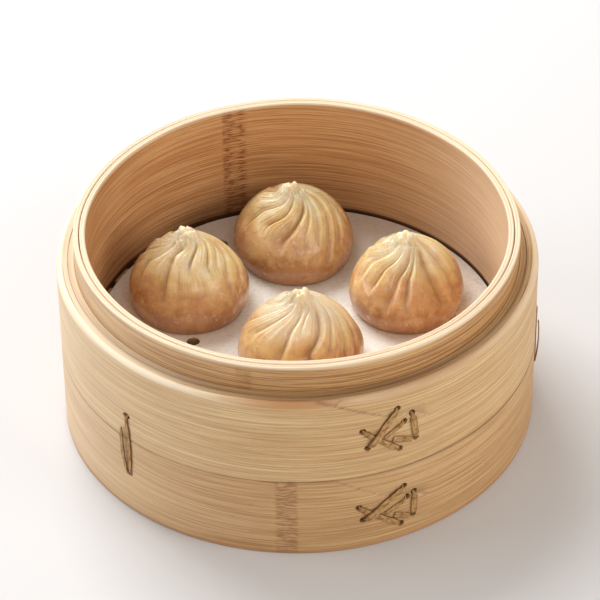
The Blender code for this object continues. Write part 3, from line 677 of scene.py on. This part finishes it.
def mark_band(item, line, fork, ledge, drawn):
    """Writes where a band has cracks, holes darkened with painted shade, ply lines and a painted shadow of
    the lip on the ledge, a darker seam, browner edges that are partly painted shade, paler edges and a paler
    left side with painted light, and a node.
    """
    azimuth, height, radius = vertex_places(item)
    upper = ledge > SEAM_HEIGHT
    outside = radius > BAND_RADIUS - 1.6
    edge = ease((radius - BAND_RADIUS + EDGE_ROUND + 0.4) / 0.8)
    flat = (height > ledge - 0.9) * (1.0 - edge) * upper
    rounded = ease(height - ledge + EDGE_ROUND) * edge * upper

    _, crack = lap_relief(azimuth, height, line)
    if fork:
        nearest, _ = line_offset(azimuth, height, fork)
        crack = np.maximum(crack, 0.9 * bell(nearest, 0.0, 0.3))
    spotty = 0.85 + 0.15 * np.sin(azimuth * 5.1) * np.sin(azimuth * 1.7 + 2.0)
    fade = ease((azimuth - line[0][0] + 1.0) / 3.0) * (1.0 - 0.8 * ease((azimuth - 290.0) / 8.0))
    # Painted shade inside the holes of the cane.
    hole_shade = ease((BAND_RADIUS - 0.3 - radius) / 0.6)
    hole_shade *= (height < ledge - EDGE_ROUND) & (height > 3.0) & (radius > LIP_RADIUS + 1.0)
    crack_and_hole_shade = np.maximum(drawn * crack * spotty * fade * outside, 0.75 * hole_shade)
    plies = sum(bell(radius, middle, 0.3) for middle in BAND_PLIES)
    # Dark ply lines on the ledge top, with a painted shadow of the lip over its front.
    dim = (0.3 * plies + 0.38 * bell(azimuth, 286.0, 54.0)) * flat
    seam = bell(height, SEAM_HEIGHT + (0.1 if upper else -0.1), 0.45) * outside
    seam *= 0.15 + 0.3 * bell(azimuth, 310.0, 34.0)
    add_values(item, "crack", np.maximum(np.maximum(crack_and_hole_shade, dim), seam))

    # Browner: the front of the rounded top edge by the lap ends, partly the winding beneath and partly
    # painted shade; darker towards the bottom edge; a trace of painted shade on the flat ledge.
    front = 0.7 * bell(azimuth, 268.0, 13.0) + 0.35 * bell(azimuth, 308.0, 22.0)
    foot = bell(height, 0.0, 1.6) * outside * (not upper)
    add_values(item, "tint", np.maximum(np.maximum(front * rounded, 0.7 * foot), 0.04 * flat))
    # Paler: painted light along the rounded top edge, most on the left, and on the ledge and outer face on
    # the left, where the light falls.
    left = ease((256.0 - azimuth) / 22.0) * ease((azimuth - 100.0) / 20.0)
    pale = np.maximum((0.55 + 0.4 * left) * rounded * (1.0 - front), 0.6 * flat * left)
    add_values(item, "pale", np.maximum(pale, 0.4 * bell(azimuth, 195.0, 42.0) * outside * (1.0 - rounded)))
    add_values(item, "node", 0.55 * ease((3.0 - np.abs(azimuth - 267.0)) / 1.2) * outside * (not upper))


def mark_ply(item, top, middle, half, amount):
    """Writes where a ply is pale on its cut top edge, where painted light pales the left of the lip and the
    right of the inner wall, where it has its node, and where it is darker with a stain and painted shade.
    """
    azimuth, height, radius = vertex_places(item)
    inner = radius < INNER_RADIUS + 0.5
    level = np.interp(azimuth, np.arange(0.0, 360.0, PLY_TURN), top, period=360.0)
    # Pale on the cut top edge; painted light on the left of the lip's outer face and on the right of the
    # inner wall, which face the light.
    left = 0.35 * bell(azimuth, 200.0, 38.0) * (radius > LIP_RADIUS - 1.0)
    right = 0.5 * bell((azimuth + 180.0) % 360.0, 198.0, 34.0) * inner
    add_values(item, "pale", np.maximum(0.75 * ease((height - level + 0.95) / 0.5), np.maximum(left, right)))
    off = azimuth - middle
    inside = ease((off + half) / 1.6) * (1.0 - ease((off - half + 0.5) / 0.5))
    lines = 0.62 + 0.38 * np.maximum(bell(off, -0.45 * half, 0.8), bell(off, 0.5 * half, 0.9))
    add_values(item, "node", amount * inside * lines)
    # A stain with painted shade low on the inner wall at the back, painted shade in the gap at the wall's
    # foot above the paper, and painted shade on the left of the inner wall.
    stain_and_shade = bell(azimuth, 118.0, 26.0) * (1.0 - ease((height - 33.0) / 13.0)) * inner
    foot = (1.0 - ease((height - LINER_TOP - 0.4) / 0.9)) * inner
    dim = 0.13 * bell(azimuth, 168.0, 30.0) * inner
    add_values(item, "crack", np.maximum(np.maximum(0.6 * stain_and_shade, 0.95 * foot), dim))


def build_plies(materials):
    """The inner wall and the lip that stands above the ledge."""
    between = INNER_RADIUS + PLY
    azimuth = np.arange(0.0, 360.0, PLY_TURN)
    top = BASKET_HEIGHT + waves(azimuth, "rim", (2, 3, 7, 12), 0.14)
    inside = INNER_RADIUS + waves(azimuth, "inner", (2, 3, 5), 0.12)
    outline = [(between - 0.05, WALL_FOOT), (between - 0.05, 45.0), (between - 0.05, top - 0.4)]
    outline += [(between - 0.25, top - 0.05)]
    outline += groove(INNER_PLY + waves(azimuth, "inner ply", (1, 3, 8), 0.14), top, 0.12, 0.14)
    outline += [(inside + r, top + z) for r, z in corner(0.7, -0.7, 0.7, 90.0, 5)]
    for share in np.linspace(0.0, 1.0, 60)[1:]:
        outline.append((inside, top - 0.7 - (top - 0.7 - WALL_FOOT - 0.3) * share))
    outline += [(inside + 0.3, WALL_FOOT)]
    wall = ring_object("lining_strip", azimuth, outline, materials["inner"])
    mark_ply(wall, top, 107.6, 3.9, 0.95)
    finish_piece(wall, ["inner_wall"])

    outside = LIP_RADIUS - 0.02 + waves(azimuth, "lip", (2, 4, 6), 0.05)
    top = top - 0.1 + waves(azimuth, "lip top", (3, 5, 11), 0.1)
    outline = [(between + GAP, WALL_FOOT), (LIP_RADIUS - 0.1, WALL_FOOT), (LIP_RADIUS - 0.05, 40.0)]
    for share in np.linspace(0.0, 1.0, 14):
        outline.append((outside, 69.0 + (top - 0.6 - 69.0) * share))
    outline += [(outside + r, top + z) for r, z in corner(-0.6, -0.6, 0.6, 0.0, 5)[1:]]
    outline += groove(LIP_PLY + waves(azimuth, "lip ply", (2, 3, 9), 0.12), top, 0.12, 0.13)
    outline += [(between + GAP + 0.2, top - 0.02), (between + GAP, top - 0.3), (between + GAP, 45.0)]
    lip = ring_object("lip_strip", azimuth, outline, materials["lip"])
    mark_ply(lip, top, 256.3, 2.6, 0.36)
    finish_piece(lip, ["lip_ply"])


def build_bands(materials):
    """The two windings, with the holes of the cane."""
    first, last = LAP_AZIMUTHS
    azimuth = np.concatenate((np.arange(first, last, LAP_TURN), np.arange(last, first + 360.0, BAND_TURN)))
    ledge = LEDGE_HEIGHT + waves(azimuth, "ledge", (2, 5, 8, 13), 0.15)
    seam = SEAM_HEIGHT + waves(azimuth, "seam", (2, 5, 9, 14), 0.16)
    outline = band_outline(azimuth, seam + 0.05, ledge, 0.45, EDGE_ROUND, UPPER_LAP, BAND_PLIES, "upper")
    upper = ring_object("upper_winding", azimuth, outline, materials["upper"])
    outline = band_outline(azimuth, 0.0, seam - 0.05, 0.7, 0.45, LOWER_LAP, (), "lower")
    lower = ring_object("lower_winding", azimuth, outline, materials["lower"])
    for band, at, (_, middle, holes, _) in zip((upper, lower), (STITCH_TOP, STITCH_FOOT), LACINGS):
        places = [(LACING_AZIMUTH + arc_to_azimuth(x), middle + z, 1.0) for x, z in holes.values()]
        places += [(spot, at, STITCH_SLOT_STRETCH) for _, spot in STITCHES]
        cut_holes(band, places)
    mark_band(upper, UPPER_LAP, UPPER_LAP_FORK, LEDGE_HEIGHT, 0.5)
    mark_band(lower, LOWER_LAP, None, SEAM_HEIGHT, 0.35)
    finish_piece(upper, ["upper_band"])
    finish_piece(lower, ["lower_band"])


# The floor and its paper

def build_floor(materials):
    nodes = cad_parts
    nodes["floor_hoop"].data.materials[0] = materials["hoop"]
    flat = [("batten", f"floor_batten_{k + 1}") for k in range(3)]
    flat += [("slat", f"floor_slat_{k + 1:02d}") for k in range(SLAT_COUNT)]
    for kind, name in flat:
        piece = nodes[name]
        piece.data.materials[0] = materials[kind]
        soften = piece.modifiers.new("worn", "BEVEL")
        soften.width = 0.5 * MM
        soften.segments = 2
        soften.limit_method = "ANGLE"


def build_liner(materials):
    """The sheet of paper, with a slight wave near its edge."""
    chance = random.Random("paper")
    swells = [(chance.uniform(-70, 70), chance.uniform(-70, 70), chance.uniform(6, 16),
               chance.uniform(-0.22, 0.28)) for _ in range(46)]
    columns = 200
    azimuth = np.radians(np.arange(columns) * 360.0 / columns)
    top = []
    for r in np.linspace(1.5, LINER_RADIUS - 0.15, 52):
        x = r * np.cos(azimuth) + LINER_SHIFT
        y = r * np.sin(azimuth)
        swell = np.zeros_like(x)
        for sx, sy, size, rise in swells:
            swell += rise * mound(x - sx, y - sy, size)
        far = np.hypot(x, y) / LINER_RADIUS
        edge_wave = 0.25 * ease((far - 0.93) / 0.07) * np.sin(7 * np.arctan2(y, x))
        lift = np.clip(swell, -0.15, 0.3) * 0.6 + edge_wave
        top.append(np.stack((x, y, LINER_TOP - 0.1 + 0.5 * lift), axis=1))
    under = [ring - (0.0, 0.0, LINER_THICKNESS) for ring in reversed(top)]
    verts = np.concatenate(top + under)
    faces = tube_faces(len(verts) // columns, columns, wrap_columns=False)
    sheet = mesh_object("liner_sheet", verts, faces, materials["paper"])
    close_up(sheet, [range(columns), range(len(verts) - columns, len(verts))])
    shape = bmesh.new()
    for x, y in LINER_HOLES:
        add_cone(shape, 32, LINER_HOLE_RADIUS, LINER_HOLE_RADIUS, 4.0, Matrix.Translation((x, y, LINER_TOP)))
    cut_away(sheet, shape)
    finish_piece(sheet, ["paper_liner"])


# The cane

def hole_lift(distance):
    """The height of a strip's middle over the band, which dips where the strip goes into its hole."""
    rest = GAP + CANE_THICKNESS / 2
    return rest - (rest + CANE_DIP) * (1.0 - ease(distance / CANE_BEND))


def widening(end_width, width, distance):
    return end_width + (width - end_width) * ease(distance)


def ribbon(name, node, azimuth, base_height, stations, seed, material):
    """A strip of cane on the outside of the bands; stations are as in the part, closer together."""
    chance = random.Random(seed)
    phase = [chance.uniform(0, 6.28) for _ in range(2)]
    points, normals = [], []
    for x, z, lift, _ in stations:
        outward = outward_at(azimuth + arc_to_azimuth(x))
        points.append(outward * (BAND_RADIUS + lift - 0.1) + Vector((0.0, 0.0, base_height + z)))
        normals.append(outward)
    verts, along, across = [], [], []
    travelled = 0.0
    for k, point in enumerate(points):
        run = (points[min(k + 1, len(points) - 1)] - points[max(k - 1, 0)]).normalized()
        side = run.cross(normals[k]).normalized()
        outward = side.cross(run)
        if k:
            travelled += (point - points[k - 1]).length
        wobble = 1.0 + 0.06 * math.sin(travelled * 0.9 + phase[0])
        wobble += 0.04 * math.sin(travelled * 2.3 + phase[1])
        half = 1.1 * stations[k][3] / 2 * wobble
        for j in range(CANE_SIDES):
            turn = 2 * math.pi * j / CANE_SIDES
            c, s = math.cos(turn), math.sin(turn)
            u = math.copysign(abs(c) ** 0.55, c)
            t = math.copysign(abs(s) ** 0.7, s)
            cup = -0.10 * (u * u) * half
            verts.append(tuple(point + side * (half * u) + outward * (CANE_THICKNESS / 2 * t + cup)))
            along.append(travelled)
            across.append(u)
    faces = tube_faces(len(points), CANE_SIDES, wrap_columns=False)
    item = mesh_object(name, verts, faces[:, ::-1], material)
    close_up(item, [range(CANE_SIDES), reversed(range(len(verts) - CANE_SIDES, len(verts)))])
    add_values(item, "along", along)
    add_values(item, "across", across)
    finish_piece(item, [node])


def crossing(start, end, other_start, other_end):
    """How far along the first strip it crosses the other."""
    start = Vector(start)
    run = Vector(end) - start
    other = Vector(other_end) - Vector(other_start)
    offset = Vector(other_start) - start
    share = (offset.x * other.y - offset.y * other.x) / (run.x * other.y - run.y * other.x)
    return share * run.length


def lacing_stations(start, end, width, hump_at, ends_in_holes):
    """Stations of a straight strip: place, lift and width; over hump_at it rises above another strip."""
    start, end = Vector(start), Vector(end)
    length = (end - start).length
    stations = []
    for spot in np.linspace(0.0, length, int(length / 0.35) + 2):
        place = start.lerp(end, float(spot) / length)
        to_hole = (length, spot, min(spot, length - spot))[ends_in_holes]
        hump = ease(1.0 + HUMP_FLAT - abs(spot - hump_at) / CANE_CROSSING)
        lift = hole_lift(to_hole) + (CANE_THICKNESS + GAP) * hump
        across = widening(CANE_END_WIDTH, width, to_hole / (2 * CANE_BEND))
        stations.append((place.x, place.y, float(lift), float(across)))
    return stations


def stitch_stations(strand, first, count):
    """Stations of a stitch's strand: the tied one has both ends in holes, the free one stands off above."""
    stations = []
    for spot in np.linspace(first, STITCH_LENGTH, count):
        from_foot = STITCH_LENGTH - spot
        if strand is TIED_STRAND:
            nearest = min(spot, from_foot)
            lift = hole_lift(nearest)
            width = widening(STITCH_END_WIDTH, TIED_WIDTH, (nearest - 1.5) / 4.5)
        else:
            lift = hole_lift(from_foot) + FREE_BULGE * math.sin(math.pi * (spot / STITCH_LENGTH))
            width = min(widening(FREE_TIP_WIDTH, FREE_WIDTH, (spot - first) / 4.0),
                        widening(STITCH_END_WIDTH, FREE_WIDTH, (from_foot - 1.5) / 4.5))
        x = np.interp(spot / STITCH_LENGTH, *zip(*strand))
        stations.append((float(x), STITCH_TOP - spot, float(lift), float(width)))
    return stations


def build_canes(material):
    for name, height, holes, loose in LACINGS:
        strips = []
        for start, end, over, width in LACING_STRIPS:
            ends = holes[start], holes[end]
            hump_at = crossing(*ends, holes["a"], holes["f"]) if over else math.inf
            strips.append(lacing_stations(*ends, width, hump_at, 2))
        for start, end, width in loose:
            strips.append(lacing_stations(holes.get(start, start), end, width, math.inf, int(start in holes)))
        for index, stations in enumerate(strips):
            ribbon(f"cane_{name}_{index + 1}", f"{name}_{index + 1}", LACING_AZIMUTH, height, stations,
                   f"{name}{index}", material)
    tied = stitch_stations(TIED_STRAND, 0.0, 80)
    free = stitch_stations(FREE_STRAND, FREE_STRAND[0][0] * STITCH_LENGTH, 70)
    for name, azimuth in STITCHES:
        for strand, stations in (("a", tied), ("b", free)):
            ribbon(f"cane_{name}_{strand}", f"stitch_{name}_{strand}", azimuth, 0.0, stations,
                   name + strand, material)


# The dumplings

def rest_folds(rest, chance):
    """Folds for the side away from the lacings."""
    first, last, count = rest
    folds = []
    for k in range(count):
        azimuth = first + (last - first) * k / (count - 1) + chance.uniform(-REST_JITTER, REST_JITTER)
        reach = REST_REACH + chance.uniform(-12.0, 10.0)
        way = [(polar, azimuth + REST_SWEEP * max(1.0 - polar / 90.0, 0.0) ** SWEEP_POWER)
               for polar in (22.0, 42.0, reach)]
        folds.append((REST_DEPTH * chance.uniform(0.6, 1.4), chance.uniform(0.9, 1.3), *way))
    return folds


def fold_ways(folds, rows):
    """The folds in order round the dumpling, and their azimuths at each row of its mesh, kept apart."""
    grid = np.linspace(0.0, POLAR_END, WAY_STEPS)
    ways = []
    for _, _, *points in folds:
        polar, azimuth = (list(part) for part in zip(*points))
        if polar[0] > WAY_START:
            azimuth.insert(0, azimuth[0] + WAY_SWIRL * (polar[0] - WAY_START))
            polar.insert(0, WAY_START)
        ways.append(np.interp(grid, polar, azimuth))
    ways = np.array(ways)
    order = np.argsort(ways[:, WAY_STEPS * 40 // 112])
    ways = ways[order]
    for _ in range(60):
        lack = np.maximum(WAY_SPACING - (next_ways(ways) - ways), 0.0) / 2.0
        ways = ways - lack + np.roll(lack, 1, axis=0)
    padded = np.pad(ways, ((0, 0), (4, 4)), mode="edge")
    ways = np.array([np.convolve(row, np.ones(9) / 9, mode="valid") for row in padded])
    return [folds[k] for k in order], np.array([np.interp(rows, grid, way) for way in ways])


def next_ways(ways):
    """For each fold, the azimuths of the one after it round the dumpling."""
    ahead = np.roll(ways, -1, axis=0)
    ahead[-1] += 360.0
    return ahead


def fold_relief(folds, ways, azimuth, polar, out):
    """Depth drawn in by the folds, and the height of the crest beside each, in millimetres."""
    total = np.zeros_like(azimuth)
    crest = np.zeros_like(azimuth)
    widen = (np.maximum(out, 1.0) / FOLD_WIDTH_RADIUS) ** 0.6
    for (depth, soft, *points), way in zip(folds, ways):
        first = max(min(points[0][0], 22.0) - 10.0, 4.0)
        shown = ease((polar - first) / 14.0) * (1.0 - ease((polar - points[-1][0] + 5.0) / 20.0))
        off = np.radians(angle_from(azimuth, way)) * out
        width = np.where(off > 0, FOLD_STEEP, FOLD_GENTLE) * soft * widen
        total = np.maximum(total, depth * shown * np.exp(-(np.abs(off) / width) ** 1.25))
        beside = off - CREST_OFFSET * soft * widen
        width = np.where(beside > 0, 1.3, 0.8) * soft * widen
        crest = np.maximum(crest, depth * shown * bell(beside, 0.0, width))
    near = np.minimum(out / FULL_DEPTH_RADIUS, 1.0)
    return total * near, CREST_SHARE * crest * near


def profile(radius, height, polar):
    """Distance from the axis and height of the smooth form at a polar angle."""
    angle = np.radians(polar)
    waist = WAIST * height
    out = radius * np.abs(np.sin(angle)) ** PROFILE_POWER
    upper = waist + (height - waist) * np.maximum(np.cos(angle), 0.0) ** PROFILE_POWER
    lower = waist * (1.0 - np.cos(angle) / math.cos(math.radians(POLAR_END)))
    return out, np.where(polar <= 90.0, upper, lower)


def knot_rise(x, y, humps, seed):
    """The pinched middle: a low mound, a few humps that run into one another, and small tatters."""
    chance = random.Random(seed + " knot")
    clump = np.zeros_like(x)
    for hx, hy, size, rise in humps:
        away = ((x - hx) ** 2 + (y - hy) ** 2) / (KNOT_SPREAD * size) ** 2
        clump = np.maximum(clump, rise * np.exp(-away ** 1.6))
    total = KNOT_HEIGHT * np.exp(-(np.hypot(x, y) / KNOT_RADIUS) ** 4) + KNOT_SHARE * clump
    for _ in range(TATTERS):
        turn, far = chance.uniform(0.0, 6.28), TATTER_REACH * chance.uniform(0.0, 1.0) ** 0.7
        size, rise = chance.uniform(0.4, 0.85), chance.uniform(-0.8, 0.75)
        total += rise * mound(x - far * math.cos(turn), y - far * math.sin(turn), size)
    return total


def lumps(azimuth, polar, seed, bulges):
    """Broad unevenness of the dough: the given bulges and some random ones."""
    chance = random.Random(seed + " lumps")
    others = [(chance.uniform(0.0, 360.0), chance.uniform(35.0, 100.0), chance.uniform(10.0, 24.0),
               chance.uniform(-0.45, 0.45)) for _ in range(16)]
    narrowing = np.sin(np.radians(np.clip(polar, 20.0, 90.0)))
    total = np.zeros_like(azimuth)
    for middle, down, size, rise in (*bulges, *others):
        total += rise * mound(angle_from(azimuth, middle) * narrowing, polar - down, size)
    return total


def pleat_share(azimuth, polar, patches):
    """How much the fine pleats show: a little all round below the knot, and more in the patches."""
    total = 0.55 * ease((polar - 5.0) / 8.0) * (1.0 - ease((polar - 42.0) / 30.0))
    for middle, half, low, high, strength in patches:
        off = np.abs(angle_from(azimuth, middle))
        inside = (1.0 - ease((off / half - 0.6) / 0.6)) * ease((polar - low + 3.0) / 8.0)
        total = np.maximum(total, strength * inside * (1.0 - ease((polar - high + 6.0) / 12.0)))
    return total


def skin_verts(one, folds, ways, azimuth, polar):
    """Places on a dumpling's skin, and the depth of the folds and height of their crests there."""
    out, up = profile(one.radius, one.height, polar)
    ahead = profile(one.radius, one.height, np.minimum(polar + 1.0, POLAR_END))
    behind = profile(one.radius, one.height, np.maximum(polar - 1.0, 0.0))
    slope = np.stack((behind[1] - ahead[1], ahead[0] - behind[0]))
    slope = slope / np.hypot(slope[0], slope[1])
    depth, crest = fold_relief(folds, ways, azimuth, polar, out)
    drawn = depth - crest - lumps(azimuth, polar, one.name, one.bulges)
    uneven = 1.0 + OVAL * np.cos(np.radians(2 * azimuth) + one.phase)
    uneven = uneven + THREE_SIDED * np.cos(np.radians(3 * azimuth) - one.phase)
    out = np.maximum(out * uneven - slope[0] * drawn, 0.0)
    angle = np.radians(azimuth)
    x, y = out * np.cos(angle), out * np.sin(angle)
    up = np.maximum(up - slope[1] * drawn, 0.0) + knot_rise(x, y, one.knot, one.name)
    share = (up / one.height) ** 2
    return np.stack((x + one.lean[0] * share, y + one.lean[1] * share, up), axis=-1), depth, crest


def build_dumpling(one, material):
    rows = POLAR_END * (np.arange(1, SKIN_ROWS + 1) / SKIN_ROWS) ** 1.1
    folds, ways = fold_ways(list(one.folds) + rest_folds(one.rest, random.Random(one.name)), rows)
    following = next_ways(ways)
    room = (following - ways)[:, SKIN_ROWS // 2]
    counts = np.maximum((room / 360.0 * SKIN_COLUMNS).round().astype(int), 10)
    azimuth, around = [], []
    for k, count in enumerate(counts):
        for share in np.arange(count) / count:
            azimuth.append(ways[k] + (following[k] - ways[k]) * share)
            around.append(np.full(SKIN_ROWS, (k + share) / len(counts)))
    azimuth = np.array(azimuth)
    around = 2 * math.pi * np.array(around)
    columns = len(azimuth)
    polar = np.broadcast_to(rows, azimuth.shape)
    verts, depth, crest = skin_verts(one, folds, ways, azimuth, polar)
    top_point = verts[:, 0].mean(axis=0)
    verts = np.concatenate((verts.reshape(-1, 3), [top_point, [0.0, 0.0, 0.0]]))
    verts += np.array((*one.place, LINER_TOP + GAP - 0.2))
    item = mesh_object("dough_" + one.name, verts, tube_faces(columns, SKIN_ROWS, wrap_rows=False), material)
    top, foot = len(verts) - 2, len(verts) - 1
    caps = []
    for k in range(columns):
        here, beside = k * SKIN_ROWS, (k + 1) % columns * SKIN_ROWS
        caps += [(top, here, beside), (foot, beside + SKIN_ROWS - 1, here + SKIN_ROWS - 1)]
    close_up(item, caps)
    add_values(item, "rise", (verts[:, 2] - LINER_TOP) / one.height)
    add_values(item, "shade", np.full(len(verts), one.shade))
    add_values(item, "cream", np.full(len(verts), one.cream))
    from_knot = np.hypot(verts[:, 0] - one.place[0], verts[:, 1] - one.place[1])
    high = verts[:, 2] > LINER_TOP + 0.8 * one.height
    add_values(item, "knot", (1.0 - ease((from_knot - 3.2) / 3.0)) * high)
    for label, values in (("hollow", np.clip(depth / 2.0, 0.0, 1.0)), ("crest", np.clip(crest, 0.0, 1.0)),
                          ("pleats", pleat_share(azimuth, polar, one.pleats)), ("swirl_x", np.cos(around)),
                          ("swirl_y", np.sin(around)), ("down", polar / 90.0)):
        add_values(item, label, np.concatenate((values.ravel(), [0.0, 0.0])))
    finish_piece(item, ["dumpling_" + one.name])


# Light, floor and camera

def build_stage():
    scene = bpy.context.scene
    scene.view_settings.view_transform = "Standard"
    scene.world = bpy.data.worlds.new("soft_room")
    scene.world.use_nodes = True
    background = scene.world.node_tree.nodes["Background"]
    background.inputs[0].default_value = ROOM_COLOUR
    background.inputs[1].default_value = ROOM_LIGHT
    for name, place, size, power, colour in LIGHTS:
        data = bpy.data.lights.new(name, "AREA")
        data.size = size
        data.energy = power
        data.color = colour
        lamp = add_object(name, data)
        lamp.location = place
        lamp.rotation_euler = (Vector(LIGHTS_AIM) - Vector(place)).to_track_quat("-Z", "Y").to_euler()
    net = Net("pale_floor")
    cloud = net.noise(net.vector(*net.place()), scale=3.0, detail=1.0)
    stops = [(0.3, (0.645, 0.635, 0.635, 1.0)), (0.7, (0.665, 0.655, 0.655, 1.0))]
    net.set(colour=net.ramp(cloud, stops), rough=0.8, specular=0.2)
    mesh = bpy.data.meshes.new("floor")
    mesh.from_pydata([(-4, -4, 0), (4, -4, 0), (4, 4, 0), (-4, 4, 0)], [], [(0, 1, 2, 3)])
    mesh.materials.append(net.material)
    add_object("floor", mesh)


def build_camera():
    elevation = math.radians(CAMERA_ELEVATION)
    aim = Vector(CAMERA_AIM)
    eye = aim + CAMERA_DISTANCE * Vector((0.0, -math.cos(elevation), math.sin(elevation)))
    data = bpy.data.cameras.new("camera")
    data.sensor_width = 36.0
    data.lens = CAMERA_LENS
    camera = add_object("camera", data)
    back = (eye - aim).normalized()
    right = Vector((1.0, 0.0, 0.0))
    turn = Matrix((right, back.cross(right), back)).transposed().to_4x4()
    turn.translation = eye
    camera.matrix_world = turn @ Matrix.Rotation(math.radians(CAMERA_ROLL), 4, "Z")
    bpy.context.scene.camera = camera


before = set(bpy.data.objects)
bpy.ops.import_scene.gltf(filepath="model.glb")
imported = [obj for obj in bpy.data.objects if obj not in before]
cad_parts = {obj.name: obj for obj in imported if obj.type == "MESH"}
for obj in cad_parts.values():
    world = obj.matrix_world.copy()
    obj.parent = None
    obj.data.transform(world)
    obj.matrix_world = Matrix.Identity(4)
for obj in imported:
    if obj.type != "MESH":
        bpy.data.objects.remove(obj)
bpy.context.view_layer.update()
looks = make_materials()
build_plies(looks)
build_bands(looks)
build_floor(looks)
build_liner(looks)
build_canes(looks["cane"])
for dumpling in DUMPLINGS:
    build_dumpling(dumpling, looks["skin"])
build_stage()
build_camera()
bpy.context.view_layer.update()
